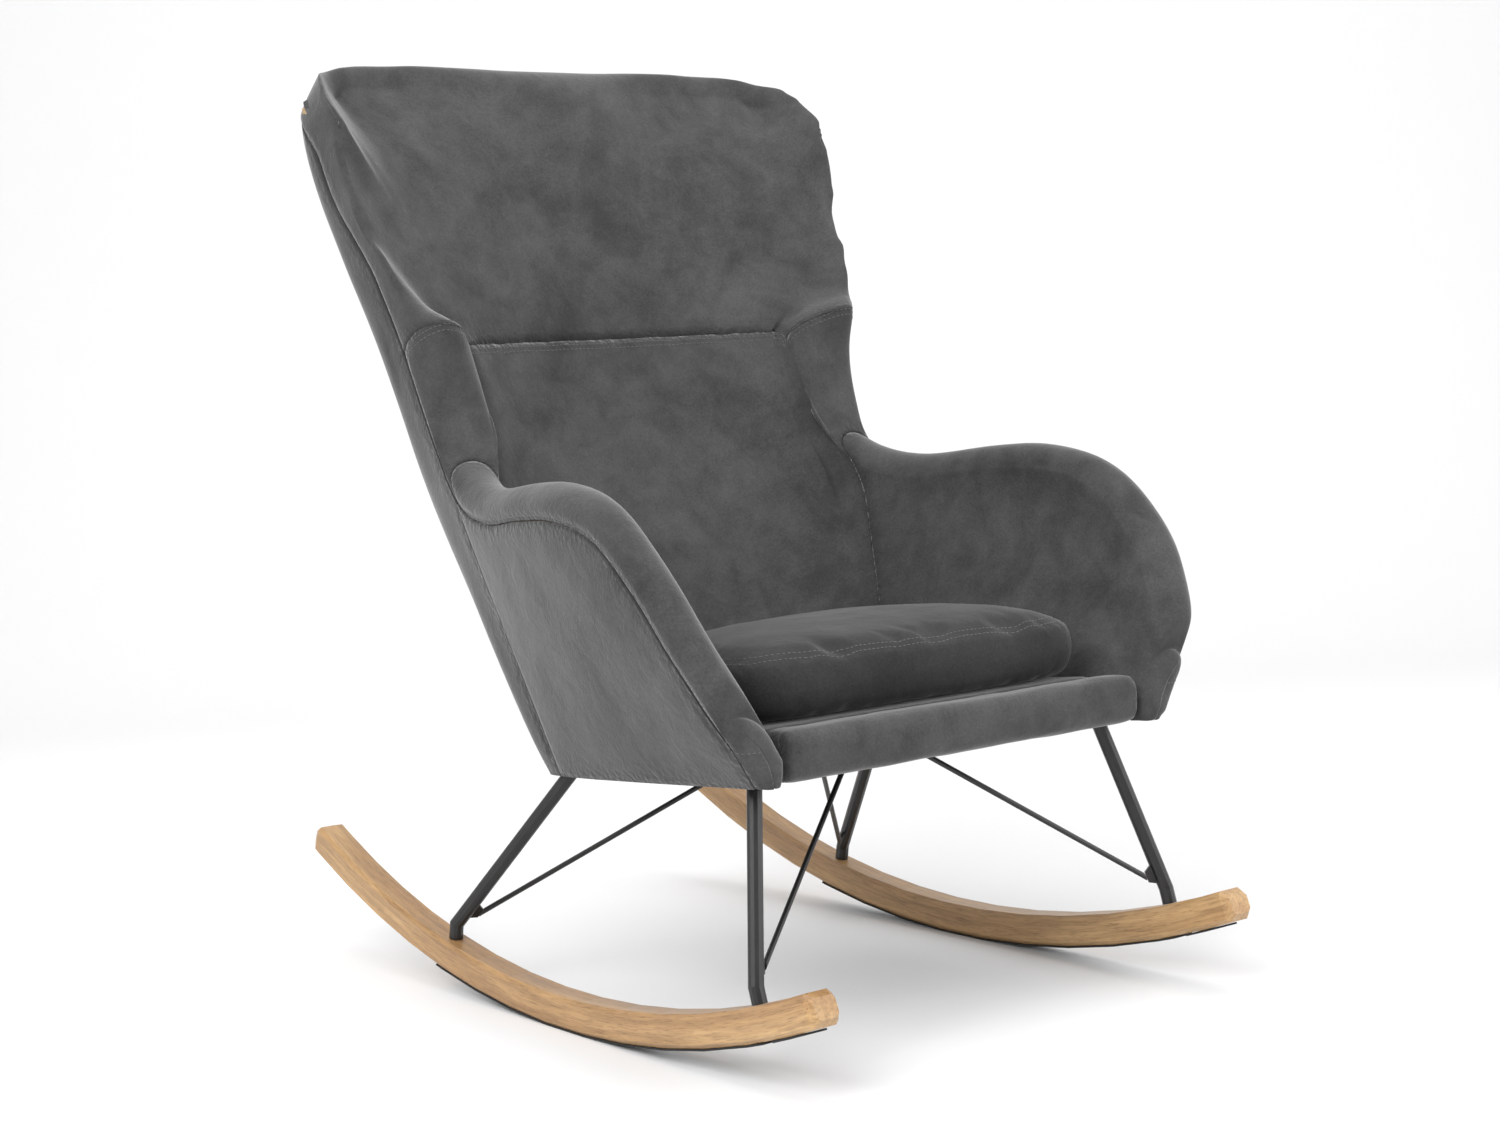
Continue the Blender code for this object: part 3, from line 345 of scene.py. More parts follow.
def fill_wings():
    """Pads the corner between the back and each wing into one hollow sweep above the shoulder seam."""
    middle = (COLUMNS - 1) // 2
    face = GRID[middle, OUTER + WRAP + CAP : FOOT_ROW]
    order = np.argsort(face[:, 2])
    back_z, back_y = face[order, 2], face[order, 1]
    edge = GRID[AFTER_SHOULDER - 2 : middle - 6, SEAM_HIGH]
    order = np.argsort(edge[:, 2])
    edge_x, edge_y, edge_z = edge[order].T
    band = range(SEAM_HIGH, OUTER + WRAP + CAP)
    outline, furthest = [], {}
    for j in range(AFTER_ARM, COLUMNS - AFTER_ARM):
        reach = [math.hypot(GRID[j, i, 0], GRID[j, i, 2] - OUTLINE_CENTRE) for i in band]
        furthest[j] = band[int(np.argmax(reach))]
        outline.append(GRID[j, furthest[j]][[0, 2]])
    outline = np.array(outline)
    shares = np.linspace(0, 1, 6)[:-1, None, None]
    dense = (outline[:-1] * (1 - shares) + outline[1:] * shares).reshape(-1, 2)

    def step(value, low, high):
        share = np.clip((value - low) / (high - low), 0, 1)
        return share * share * (3 - 2 * share)

    def sweep(path):
        """Depth of the padded front at points of the (x, z) plane."""
        x, z = np.abs(path[:, 0]), path[:, 1]
        inward = np.hypot(path[:, None, 0] - dense[:, 0], path[:, None, 1] - dense[:, 1]).min(axis=1)
        share = np.clip(x / np.interp(z, edge_z, edge_x), 0, 1)
        centre = np.interp(z, back_z, back_y)
        depth = TOP_ROUND + (WING_ROUND - TOP_ROUND) * step(share, 0.45, 0.95)
        front = np.interp(z, edge_z, edge_y) - WING_ROUND
        hollow = centre - (centre - front) * share**HOLLOW
        turn = np.clip(1 - inward / EDGE_ROUND, 0, 1)
        return hollow + depth * (1 - np.sqrt(1 - turn**2))

    first, last = AFTER_SHOULDER, COLUMNS - 1 - AFTER_SHOULDER
    made = GRID.copy()
    for j in range(first, last + 1):
        start = furthest[j]
        count = TOP_ROW - start
        head, foot = GRID[j, start], GRID[j, TOP_ROW]
        length = math.hypot(foot[0] - head[0], foot[2] - head[2])
        turned = EDGE_ROUND * (1 - np.cos(math.pi / 2 * np.arange(ROUND_ROWS + 1) / ROUND_ROWS))
        rest = np.linspace(EDGE_ROUND, max(length, EDGE_ROUND * 1.6), count - ROUND_ROWS + 1)[1:]
        along = np.concatenate([turned, rest])
        along /= along[-1]
        path = head[[0, 2]] + (foot - head)[[0, 2]] * along[:, None]
        y = sweep(path)
        y += (head[1] - y[0]) * (1 - along) ** 6 + (foot[1] - y[-1]) * along**4
        made[j, start : TOP_ROW + 1] = np.stack([path[:, 0], y, path[:, 1]], axis=1)
    # Beside each wing's seam the sweep eases into the wing's own round.
    for end, way in ((first, 1), (last, -1)):
        miss = GRID[end] - made[end]
        for k in range(EASE_COLUMNS):
            fade = (1 - k / EASE_COLUMNS) ** 2
            made[end + way * k, SEAM_HIGH : TOP_ROW + 1] += miss[SEAM_HIGH : TOP_ROW + 1] * fade
    GRID[:] = made


def front_end(line):
    """Rings that close the front of an arm: its two faces meet on a line down the middle."""
    top = line[:, 2].argmax()
    outer, inner = line[: top + 1], line[top:]
    spine = line.copy()
    for k, point in enumerate(line):
        other = inner if k <= top else outer
        order = np.argsort(other[:, 2])
        match = [np.interp(point[2], other[order, 2], other[order, axis]) for axis in range(3)]
        spine[k] = (point + np.array(match)) / 2
        spine[k, 2] = point[2]
    rings = []
    for share in ARM_END:
        close = spine + (line - spine) * share
        near_top = np.clip((close[:, 2] - (line[top, 2] - 0.03)) / 0.03, 0, 1)
        close[:, 2] -= near_top * 0.014 * (1 - share)
        close[:, 1] -= END_BULGE * math.sqrt(1 - share * share)
        rings.append(close)
    middles = [spine + np.array((0, 0.02, 0))] * len(rings)
    return rings, middles


def mesh_object(name, points, faces, mat):
    mesh = bpy.data.meshes.new(name)
    mesh.from_pydata([tuple(point) for point in points], [], faces)
    mesh.update()
    mesh.shade_smooth()
    if mat:
        mesh.materials.append(mat)
    made = bpy.data.objects.new(name, mesh)
    bpy.context.scene.collection.objects.link(made)
    return made


def border_distance(points, faces, joined):
    """Distance of each point to the panel's border; edges between joined points aren't seams."""
    count = {}
    for face in faces:
        for a, b in zip(face, face[1:] + face[:1]):
            key = (a, b) if a < b else (b, a)
            count[key] = count.get(key, 0) + 1
    samples = []
    for (a, b), times in count.items():
        if times == 1 and not (a in joined and b in joined):
            samples += [points[a] * (1 - share) + points[b] * share for share in (0, 0.34, 0.67)]
    tree = KDTree(len(samples))
    for k, point in enumerate(samples):
        tree.insert(point, k)
    tree.balance()
    return np.array([tree.find(point)[2] for point in points])


def panel(name, cells, mat, nodes, groove=0.0032, width=0.0065, proud=0.0):
    """A sewn panel: it dips into its seams, stands a little proud between them, and has a turned edge."""
    index = {}
    points, mids, faces = [], [], []

    def corner(j, i):
        if (j, i) not in index:
            index[j, i] = len(points)
            points.append(GRID[j, i])
            mids.append(MIDS[j, i])
        return index[j, i]

    for j, i in sorted(cells):
        faces.append([corner(j, i), corner(j, i + 1), corner(j + 1, i + 1), corner(j + 1, i)])
    points, mids = np.array(points), np.array(mids)
    made = mesh_object(name, points, faces, mat)
    normals = np.array([v.normal[:] for v in made.data.vertices])
    if (normals * (points - mids)).sum() < 0:
        made.data.flip_normals()
        normals = -normals
    joined = {k for (j, i), k in index.items() if j in (0, COLUMNS - 1)}
    far = border_distance(points, faces, joined)
    dip = np.exp(-((far / width) ** 2))
    wave = np.array([noise.noise(Vector(p) * 8.0) + 0.5 * noise.noise(Vector(p) * 19.0) for p in points])
    shift = -groove * dip + (1 - dip) * (proud * (1 - np.exp(-((far / 0.03) ** 2))) + 0.0011 * wave)
    moved = points + normals * shift[:, None]
    made.data.vertices.foreach_set("co", moved.ravel())
    # The seam mask drives the pucker bump and the painted shade along the panel's seams.
    seam = made.data.attributes.new("seam", "FLOAT", "POINT")
    seam.data.foreach_set("value", np.exp(-far / 0.011).astype(np.float32))
    made.data.update()
    subdivision = made.modifiers.new("smooth", "SUBSURF")
    subdivision.levels = subdivision.render_levels = 1
    turned = made.modifiers.new("turned_edge", "SOLIDIFY")
    turned.thickness = 0.0022
    turned.offset = -1
    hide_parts(*nodes)
    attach(made, "chair")
    return made


def prepare_grid():
    """Softens the padding, closes the arms' ends and carries their inner faces down to the roll."""
    global GRID, MIDS
    wing = AFTER_ARM + 1
    soften(30, wing, AFTER_SHOULDER, SEAM_HIGH + 1, FOOT_ROW)
    soften(30, COLUMNS - AFTER_SHOULDER, COLUMNS - wing, SEAM_HIGH + 1, FOOT_ROW)
    soften(30, AFTER_SHOULDER, COLUMNS - AFTER_SHOULDER, TOP_ROW, FOOT_ROW)
    round_corners(60)
    fill_wings()
    soften(36, AFTER_SHOULDER + 1, COLUMNS - AFTER_SHOULDER - 1, SEAM_HIGH + 1, TOP_ROW)
    soften(16, 1, AFTER_ARM - 1, SEAM_HIGH + 3, FOOT_ROW)
    soften(16, COLUMNS - AFTER_ARM + 1, COLUMNS - 1, SEAM_HIGH + 3, FOOT_ROW)
    for a, b in ((AFTER_ARM - 1, AFTER_ARM), (AFTER_SHOULDER - 1, AFTER_SHOULDER)):
        pull_together(a, b, 0)
        pull_together(COLUMNS - 1 - a, COLUMNS - 1 - b, 0)
    pull_together(SEAM_LOW, SEAM_HIGH, 1)
    pull_together(TOP_ROW, TOP_ROW + 1, 1)
    # The inner face goes on down past the roll's end, to the shell's underside.
    foot = GRID[:, FOOT_ROW]
    base = np.array([underside(y - ROW_Y) for y in foot[:, 1]]) + 0.0006
    extra = []
    for k in range(1, FOOT_DROP + 1):
        row = foot.copy()
        row[:, 2] += (base - foot[:, 2]) * k / FOOT_DROP
        extra.append(row[:, None])
    GRID = np.concatenate([GRID, *extra], axis=1)
    MIDS = np.concatenate([MIDS, *[MIDS[:, -1:]] * FOOT_DROP], axis=1)
    ends = []
    for column in (0, -1):
        ends.append(front_end(GRID[column]))
    (right, right_mids), (left, left_mids) = ends
    GRID = np.concatenate([np.array(right[::-1]), GRID, np.array(left)])
    MIDS = np.concatenate([np.array(right_mids[::-1]), MIDS, np.array(left_mids)])


prepare_grid()
EXTRA = len(ARM_END)
COLUMNS += 2 * EXTRA
AFTER_ARM += EXTRA
AFTER_SHOULDER += EXTRA
BEFORE_SEAT = EXTRA + 4  # the dropped rows run over these columns only


def cells_of(first, last, rows):
    return {(j, i) for j in range(first, last) for i in rows}


# Materials -----------------------------------------------------------------------------------
class Shader:
    """A small helper that wires a Principled material."""

    def __init__(self, name):
        self.material = bpy.data.materials.new(name)
        self.material.use_nodes = True
        self.nodes = self.material.node_tree.nodes
        self.links = self.material.node_tree.links
        self.principled = self.nodes["Principled BSDF"]
        self.place = self.nodes.new("ShaderNodeTexCoord").outputs["Object"]

    def link(self, source, target):
        self.links.new(source, target)

    def noise(self, scale, detail=3.0, rough=0.55, place=None, distortion=0.0):
        node = self.nodes.new("ShaderNodeTexNoise")
        self.link(place or self.place, node.inputs["Vector"])
        node.inputs["Scale"].default_value = scale
        node.inputs["Detail"].default_value = detail
        node.inputs["Roughness"].default_value = rough
        node.inputs["Distortion"].default_value = distortion
        return node.outputs["Fac"]

    def maths(self, operation, a, b=0.0, c=0.0):
        node = self.nodes.new("ShaderNodeMath")
        node.operation = operation
        for k, value in enumerate((a, b, c)):
            if isinstance(value, (int, float)):
                node.inputs[k].default_value = value
            else:
                self.link(value, node.inputs[k])
        return node.outputs[0]

    def ramp(self, source, *stops):
        node = self.nodes.new("ShaderNodeValToRGB")
        self.link(source, node.inputs["Fac"])
        while len(node.color_ramp.elements) < len(stops):
            node.color_ramp.elements.new(0.5)
        for element, (position, colour) in zip(node.color_ramp.elements, stops):
            element.position = position
            element.color = (*colour, 1) if len(colour) == 3 else colour
        return node.outputs["Color"]

    def mix(self, share, a, b, how="MIX"):
        node = self.nodes.new("ShaderNodeMix")
        node.data_type = "RGBA"
        node.blend_type = how
        for name, value in ((0, share), (6, a), (7, b)):
            if isinstance(value, (int, float)):
                node.inputs[name].default_value = value
            elif isinstance(value, tuple):
                node.inputs[name].default_value = (*value, 1)
            else:
                self.link(value, node.inputs[name])
        return node.outputs[2]

    def bump(self, height, distance, strength=1.0, under=None):
        node = self.nodes.new("ShaderNodeBump")
        self.link(height, node.inputs["Height"])
        node.inputs["Distance"].default_value = distance
        node.inputs["Strength"].default_value = strength
        if under:
            self.link(under, node.inputs["Normal"])
        return node.outputs["Normal"]

    def set(self, name, value):
        if isinstance(value, (int, float)):
            self.principled.inputs[name].default_value = value
        elif isinstance(value, tuple):
            self.principled.inputs[name].default_value = (*value, 1)
        else:
            self.link(value, self.principled.inputs[name])


def grey(level):
    return (level, level, level * 1.005)


def velvet(name, low, high, sheen, seams=True):
    """Short-pile velvet: mottled by brushing, with a soft sheen and a fine pile, and painted shade darkening
    it along its seams.
    """
    s = Shader(name)
    brushed = s.noise(9.0, 5.0, 0.6, distortion=0.6)
    patches = s.noise(30.0, 6.0, 0.65, distortion=0.4)
    pile = s.noise(420.0, 3.0, 0.7)
    mixed = s.maths("MULTIPLY_ADD", patches, 0.45, s.maths("MULTIPLY", brushed, 0.55))
    tone = s.ramp(mixed, (0.36, grey(low)), (0.64, grey(high)))
    speck = s.ramp(pile, (0.30, grey(0.62)), (0.70, grey(1.0)))
    colour = s.mix(0.85, tone, speck, "MULTIPLY")
    normal = s.bump(pile, 0.0006, 0.55)
    normal = s.bump(patches, 0.004, 0.30, normal)
    if seams:
        near = s.nodes.new("ShaderNodeAttribute")
        near.attribute_name = "seam"
        pucker = s.maths("MULTIPLY", s.noise(150.0, 2.0, 0.5), near.outputs["Fac"])
        normal = s.bump(pucker, 0.004, 0.6, normal)
        # Painted shade: the colour is darkened towards the seams, where the cloth dips into its grooves.
        colour = s.mix(s.maths("MULTIPLY", near.outputs["Fac"], 0.32), colour, grey(low * 0.35))
    s.set("Base Color", colour)
    s.set("Roughness", s.ramp(patches, (0.3, grey(0.72)), (0.7, grey(0.88))))
    s.set("Normal", normal)
    s.set("Specular IOR Level", 0.12)
    s.set("Sheen Weight", sheen)
    s.set("Sheen Roughness", 0.38)
    s.set("Sheen Tint", grey(0.75))
    return s.material


def oak(name):
    """Bent oak: the grain follows the arc, and the faces show the glued layers."""
    s = Shader(name)
    apart = s.nodes.new("ShaderNodeSeparateXYZ")
    s.link(s.place, apart.inputs[0])
    x, y, z = apart.outputs
    across = s.maths("SUBTRACT", y, ROW_Y)
    height = s.maths("SUBTRACT", ARC_CENTRE, z)
    squares = s.maths("ADD", s.maths("MULTIPLY", across, across), s.maths("MULTIPLY", height, height))
    radius = s.maths("SQRT", squares)
    along = s.maths("MULTIPLY", s.maths("ARCTAN2", across, height), ARC_CENTRE)
    joined = s.nodes.new("ShaderNodeCombineXYZ")
    for k, value in enumerate((s.maths("MULTIPLY", x, 1.0), s.maths("MULTIPLY", along, 0.055), radius)):
        s.link(value, joined.inputs[k])
    grain = joined.outputs[0]
    broad = s.noise(26.0, 4.0, 0.55, grain, 0.5)
    fine = s.noise(210.0, 4.0, 0.7, grain, 0.15)
    pores = s.noise(900.0, 2.0, 0.6, grain)
    colour = s.ramp(
        broad, (0.30, (0.330, 0.178, 0.070)), (0.50, (0.440, 0.260, 0.110)), (0.72, (0.560, 0.360, 0.170))
    )
    colour = s.mix(0.75, colour, s.ramp(fine, (0.35, (0.55, 0.50, 0.45)), (0.62, (1, 1, 1))), "MULTIPLY")
    colour = s.mix(0.55, colour, s.ramp(pores, (0.36, (0.5, 0.42, 0.36)), (0.46, (1, 1, 1))), "MULTIPLY")
    layer = s.maths("FRACT", s.maths("DIVIDE", radius, 0.0047))
    glue = s.ramp(layer, (0.0, (0.72, 0.68, 0.64)), (0.07, (1, 1, 1)), (1.0, (1, 1, 1)))
    colour = s.mix(0.5, colour, glue, "MULTIPLY")
    s.set("Base Color", colour)
    s.set("Roughness", s.ramp(fine, (0.3, grey(0.38)), (0.7, grey(0.52))))
    s.set("Normal", s.bump(fine, 0.0006, 0.4, s.bump(pores, 0.0003, 0.4)))
    s.set("Coat Weight", 0.18)
    s.set("Coat Roughness", 0.3)
    return s.material


def coated_steel(name):
    """Black powder coat: a fine orange peel with a few lighter rubbed places."""
    s = Shader(name)
    peel = s.noise(1500.0, 2.0, 0.5)
    rubbed = s.noise(45.0, 5.0, 0.7)
    s.set("Base Color", s.ramp(rubbed, (0.35, grey(0.0075)), (0.75, grey(0.014))))
    s.set("Roughness", s.ramp(rubbed, (0.3, grey(0.30)), (0.7, grey(0.42))))
    s.set("Normal", s.bump(peel, 0.0003, 0.35))
    s.set("Specular IOR Level", 0.5)
    return s.material


def zinc(name):
    s = Shader(name)
    cloud = s.noise(160.0, 4.0, 0.6)
    s.set("Base Color", s.ramp(cloud, (0.3, (0.42, 0.43, 0.45)), (0.7, (0.60, 0.60, 0.60))))
    s.set("Metallic", 1.0)
    s.set("Roughness", s.ramp(cloud, (0.3, grey(0.28)), (0.7, grey(0.45))))
    s.set("Normal", s.bump(s.noise(900.0), 0.0002, 0.3))
    return s.material


def rubber(name):
    s = Shader(name)
    grit = s.noise(700.0, 3.0, 0.6)
    s.set("Base Color", s.ramp(grit, (0.3, grey(0.008)), (0.7, grey(0.022))))
    s.set("Roughness", s.ramp(grit, (0.3, grey(0.7)), (0.7, grey(0.9))))
    s.set("Normal", s.bump(grit, 0.0005, 0.5))
    return s.material


def plywood(name):
    s = Shader(name)
    streaks = s.noise(60.0, 5.0, 0.6, distortion=1.0)
    s.set("Base Color", s.ramp(streaks, (0.3, (0.30, 0.20, 0.10)), (0.7, (0.46, 0.33, 0.19))))
    s.set("Roughness", s.ramp(streaks, (0.3, grey(0.6)), (0.7, grey(0.75))))
    s.set("Normal", s.bump(streaks, 0.0005, 0.3))
    return s.material


def felt(name):
    """Black non-woven lining cloth with its pressed dots."""
    s = Shader(name)
    dots = s.nodes.new("ShaderNodeTexVoronoi")
    s.link(s.place, dots.inputs["Vector"])
    dots.inputs["Scale"].default_value = 420.0
    fibres = s.noise(800.0, 3.0, 0.6)
    s.set("Base Color", s.ramp(fibres, (0.3, grey(0.008)), (0.7, grey(0.02))))
    s.set("Roughness", s.ramp(fibres, (0.3, grey(0.85)), (0.7, grey(0.98))))
    s.set("Normal", s.bump(dots.outputs["Distance"], 0.0006, 0.5))
    return s.material


def thread(name, level):
    s = Shader(name)
    twist = s.noise(1800.0, 2.0, 0.5)
    s.set("Base Color", s.ramp(twist, (0.35, grey(level * 0.6)), (0.65, grey(level))))
    s.set("Roughness", s.ramp(twist, (0.3, grey(0.6)), (0.7, grey(0.8))))
    s.set("Normal", s.bump(twist, 0.0003, 0.5))
    s.set("Sheen Weight", 0.3)
    return s.material


ARC_CENTRE = 1.162
SHELL_VELVET = velvet("shell_velvet_cloth", 0.040, 0.085, 0.55)
# The cushion takes the shell's velvet with a darker base colour: painted shade on the cushion.
SHADED_CUSHION_VELVET = velvet("cushion_velvet_painted_shade", 0.026, 0.048, 0.30)
OAK = oak("oiled_oak")
STEEL = coated_steel("black_powder_coat")
ZINC = zinc("zinc_plate")
RUBBER = rubber("grip_rubber")
PLYWOOD = plywood("bare_plywood")
FELT = felt("lining_cloth")
DARK_THREAD = thread("seam_thread", 0.10)

BY_SLOT = {
    "oak": OAK,
    "anti_slip": RUBBER,
    "black_metal": STEEL,
    "zinc": ZINC,
    "bare_wood": PLYWOOD,
    "dust_cloth": FELT,
    "foam": PLYWOOD,
    "shell_velvet": SHELL_VELVET,
    "cushion_velvet": SHADED_CUSHION_VELVET,
    "zip": RUBBER,
}
for part in frame["record"]["subparts"]:
    node = frame["nodes"][part["node"]]
    node.data.materials.clear()
    node.data.materials.append(BY_SLOT[part["material_slot"]])


# Shell panels --------------------------------------------------------------------------------
def make_panels():
    last = COLUMNS - 1
    arm_end = AFTER_ARM - 1
    wrapped = range(SEAM_HIGH, FOOT_ROW)
    outside = range(0, SEAM_LOW)
    made = {}
    dropped = range(FOOT_ROW, FOOT_ROW + FOOT_DROP)
    for label, first, end in (("right", 0, arm_end), ("left", last - arm_end, last)):
        front = (EXTRA, BEFORE_SEAT) if label == "right" else (last - BEFORE_SEAT, last - EXTRA)
        tip = (0, EXTRA) if label == "right" else (last - EXTRA, last)
        inside = (EXTRA, end) if label == "right" else (first, last - EXTRA)
        made[f"arm_inner_{label}"] = panel(
            f"arm_panel_inner_{label}",
            cells_of(*inside, wrapped)
            | cells_of(*front, dropped)
            | cells_of(*tip, range(FOOT_ROW + FOOT_DROP)),
            SHELL_VELVET,
            [f"arm_cover_inner_{label}", f"arm_foam_{label}"],
            proud=0.001,
        )
        made[f"arm_outer_{label}"] = panel(
            f"arm_panel_outer_{label}",
            cells_of(*inside, outside),
            SHELL_VELVET,
            [f"arm_cover_outer_{label}"],
            groove=0.0018,
            proud=0.0008,
        )
    first, end = AFTER_ARM, last - AFTER_ARM
    rear = cells_of(first, end, outside)
    made["rear"] = panel("rear_panel", rear, SHELL_VELVET, ["rear_cover"], groove=0.0018, proud=0.0008)
    top_first, top_end = AFTER_SHOULDER, last - AFTER_SHOULDER
    made["upper"] = panel(
        "back_panel_upper",
        cells_of(top_first, top_end, range(SEAM_HIGH, TOP_ROW)),
        SHELL_VELVET,
        ["back_cover_upper"],
        proud=0.0022,
    )
    lower = cells_of(first, end, range(TOP_ROW + 1, FOOT_ROW))
    lower |= cells_of(first, top_first - 1, wrapped)
    lower |= cells_of(top_end + 1, end, wrapped)
    above = range(SEAM_HIGH, TOP_ROW + 1)
    for j in (top_first - 1, top_end):
        lower |= {(j, i) for i in wrapped} - {(j, i) for i in above}
    made["lower"] = panel("back_panel_lower", lower, SHELL_VELVET, ["back_cover_lower", "back_foam"])
    return made


PANELS = make_panels()


# Stitches ------------------------------------------------------------------------------------
def surface_of(objects):
    graph = bpy.context.evaluated_depsgraph_get()
    points, faces = [], []
    for made in objects:
        mesh = made.evaluated_get(graph).to_mesh()
        base = len(points)
        points += [made.matrix_world @ v.co for v in mesh.vertices]
        faces += [[base + k for k in p.vertices] for p in mesh.polygons]
        made.evaluated_get(graph).to_mesh_clear()
    return BVHTree.FromPolygons(points, faces)


def stitches(name, path, surface, mat, body, length=0.0036, pitch=0.0056, radius=0.00042):
    """Sewn thread: short rounded dashes that lie on a surface along a path."""
    path = [Vector(point) for point in path]
    runs = [(b - a).length for a, b in zip(path, path[1:])]
    total = sum(runs)
    marks = np.concatenate([[0], np.cumsum(runs)])
    made = bmesh.new()

    def at(distance):
        k = int(np.clip(np.searchsorted(marks, distance) - 1, 0, len(runs) - 1))
        spot = path[k].lerp(path[k + 1], (distance - marks[k]) / max(runs[k], 1e-9))
        found = surface.find_nearest(spot)
        return found[0] + found[1] * radius * 0.35, found[1]

    count = int(total / pitch)
    for k in range(count):
        start, end = k * pitch, k * pitch + length
        (a, up_a), (b, _) = at(start), at(end)
        if (a - b).length > 2 * length or (a - b).length < 0.3 * length:
            continue
        axis = (b - a).normalized()
        side = axis.cross(up_a).normalized()
        up = side.cross(axis)
        rings = []
        for share, scale in ((0, 0.45), (0.18, 1), (0.82, 1), (1, 0.45)):
            centre = a.lerp(b, share) - up * (radius * (1 - scale))
            rings.append([
                made.verts.new(centre + radius * scale * (math.cos(t) * side + math.sin(t) * up))
                for t in (math.pi * q / 3 for q in range(6))
            ])
        for low, high in zip(rings, rings[1:]):
            for q in range(6):
                made.faces.new((low[q], low[(q + 1) % 6], high[(q + 1) % 6], high[q]))
        made.faces.new(rings[0][::-1])
        made.faces.new(rings[-1])
    bmesh.ops.recalc_face_normals(made, faces=made.faces)
    mesh = bpy.data.meshes.new(name)
    made.to_mesh(mesh)
    made.free()
    mesh.shade_smooth()
    mesh.materials.append(mat)
    piece = bpy.data.objects.new(name, mesh)
    bpy.context.scene.collection.objects.link(piece)
    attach(piece, body)


def stitch_shell():
    surface = surface_of(PANELS.values())
    last = COLUMNS - 1
    for k, below in enumerate((0.0045, 0.0105)):
        path = []
        for j in range(AFTER_SHOULDER, last - AFTER_SHOULDER + 1):
            top, under = Vector(GRID[j, TOP_ROW + 1]), Vector(GRID[j, TOP_ROW + 3])
            path.append(top + (under - top).normalized() * below)
        stitches(f"shoulder_stitches_{k + 1}", path, surface, DARK_THREAD, "chair")
        # The rows run on over each wing beside the panel's end.
        beside_end = (("right", AFTER_SHOULDER - 1, -1), ("left", last - AFTER_SHOULDER + 1, 1))
        for label, column, step in beside_end:
            path = []
            for i in range(SEAM_HIGH + 1, TOP_ROW + 1):
                here, beside = Vector(GRID[column, i]), Vector(GRID[column + 2 * step, i])
                path.append(here + (beside - here).normalized() * below)
            stitches(f"wing_stitches_{label}_{k + 1}", path, surface, DARK_THREAD, "chair")
    for label, columns_ in (("right", range(0, AFTER_ARM)), ("left", range(last, last - AFTER_ARM, -1))):
        path = []
        for j in columns_:
            here, above = Vector(GRID[j, SEAM_HIGH]), Vector(GRID[j, SEAM_HIGH + 2])
            path.append(here + (above - here).normalized() * 0.0045)
        stitches(f"arm_stitches_{label}", path, surface, DARK_THREAD, "chair")


stitch_shell()


# Seat ----------------------------------------------------------------------------------------
def seat_floor(y):
    """Top of the seat deck at a row y."""
    return underside(y - ROW_Y) + DECK_TOP


def grid_mesh(name, grid, mat, wrap=False, ends=True):
    """A grid of points, closed round its second axis when wrap is set, with flat ends."""
    rows, count = len(grid), len(grid[0])
    points = [point for row in grid for point in row]
    faces = []
    for j in range(rows - 1):
        for i in range(count if wrap else count - 1):
            k = (i + 1) % count
            faces.append([j * count + i, j * count + k, (j + 1) * count + k, (j + 1) * count + i])
    if wrap and ends:
        faces.append(list(range(count))[::-1])
        faces.append([(rows - 1) * count + i for i in range(count)])
    made = mesh_object(name, np.array(points), faces, mat)
    tidy = bmesh.new()
    tidy.from_mesh(made.data)
    bmesh.ops.recalc_face_normals(tidy, faces=tidy.faces)
    tidy.to_mesh(made.data)
    tidy.free()
    made.data.shade_smooth()
    return made


def seam_attribute(made, values):
    # The seam mask drives the pucker bump and the painted shade near seams, gathered ends and edges.
    layer = made.data.attributes.get("seam") or made.data.attributes.new("seam", "FLOAT", "POINT")
    layer.data.foreach_set("value", np.asarray(values, np.float32))


ROLL_WIDER = 0.0080  # past its cover's solid, at each end
ROLL_PROUD = 0.0045
ROLL_SQUARE = 0.62  # 1 is a round section, and less is squarer
DECK_THICK = 0.022


def make_roll():
    """The padded front roll: a soft bar across the front, gathered a little at its ends."""
    low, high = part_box("roll_cover")
    half = high.x + ROLL_WIDER
    front, rear = low.y, high.y
    tilt = UNDERSIDE_SLOPE
    front -= ROLL_PROUD
    middle_y = (front + rear) / 2
    bottom = underside(middle_y - ROW_Y) + 0.0002
    top = high.z + ROLL_PROUD + tilt * (rear - front) / 2
    middle_z = (bottom + top) / 2
    grid, values = [], []
    for step in range(49):
        t = -1 + 2 * step / 48
        t = math.copysign(1 - (1 - abs(t)) ** 1.25, t)
        x = half * t
        end = np.clip((half - abs(x)) / 0.016, 0, 1)
        shrink = 0.0035 * (1 - math.sqrt(1 - (1 - end) ** 2))
        wave = 0.0009 * noise.noise(Vector((x * 16, 0, 0.7)))
        row = []
        for k in range(44):
            angle = 2 * math.pi * k / 44
            dy = math.copysign(abs(math.cos(angle)) ** ROLL_SQUARE, math.cos(angle))
            dz = math.copysign(abs(math.sin(angle)) ** ROLL_SQUARE, math.sin(angle))
            bulge = 0.0012 * max(0, -dy) * (1 - (x / half) ** 2)
            deep = (rear - front) / 2 - shrink + bulge + wave
            tall = (top - bottom) / 2 - shrink + wave
            y = middle_y + dy * deep
            ripple = 0.0010 * noise.noise(Vector((x * 30, angle * 2.2, 3.1)))
            row.append((x, y, middle_z + tilt * (y - middle_y) + dz * (tall + ripple)))
            # Towards the roll's gathered ends this mask grows, and through the velvet it paints shade there.
            values.append(math.exp(-(half - abs(x)) / 0.009))
        grid.append(row)
    made = grid_mesh("front_roll", grid, SHELL_VELVET, wrap=True)
    seam_attribute(made, values)
    smooth = made.modifiers.new("smooth", "SUBSURF")
    smooth.levels = smooth.render_levels = 1
    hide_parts("roll_cover", "roll_foam")
    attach(made, "chair")


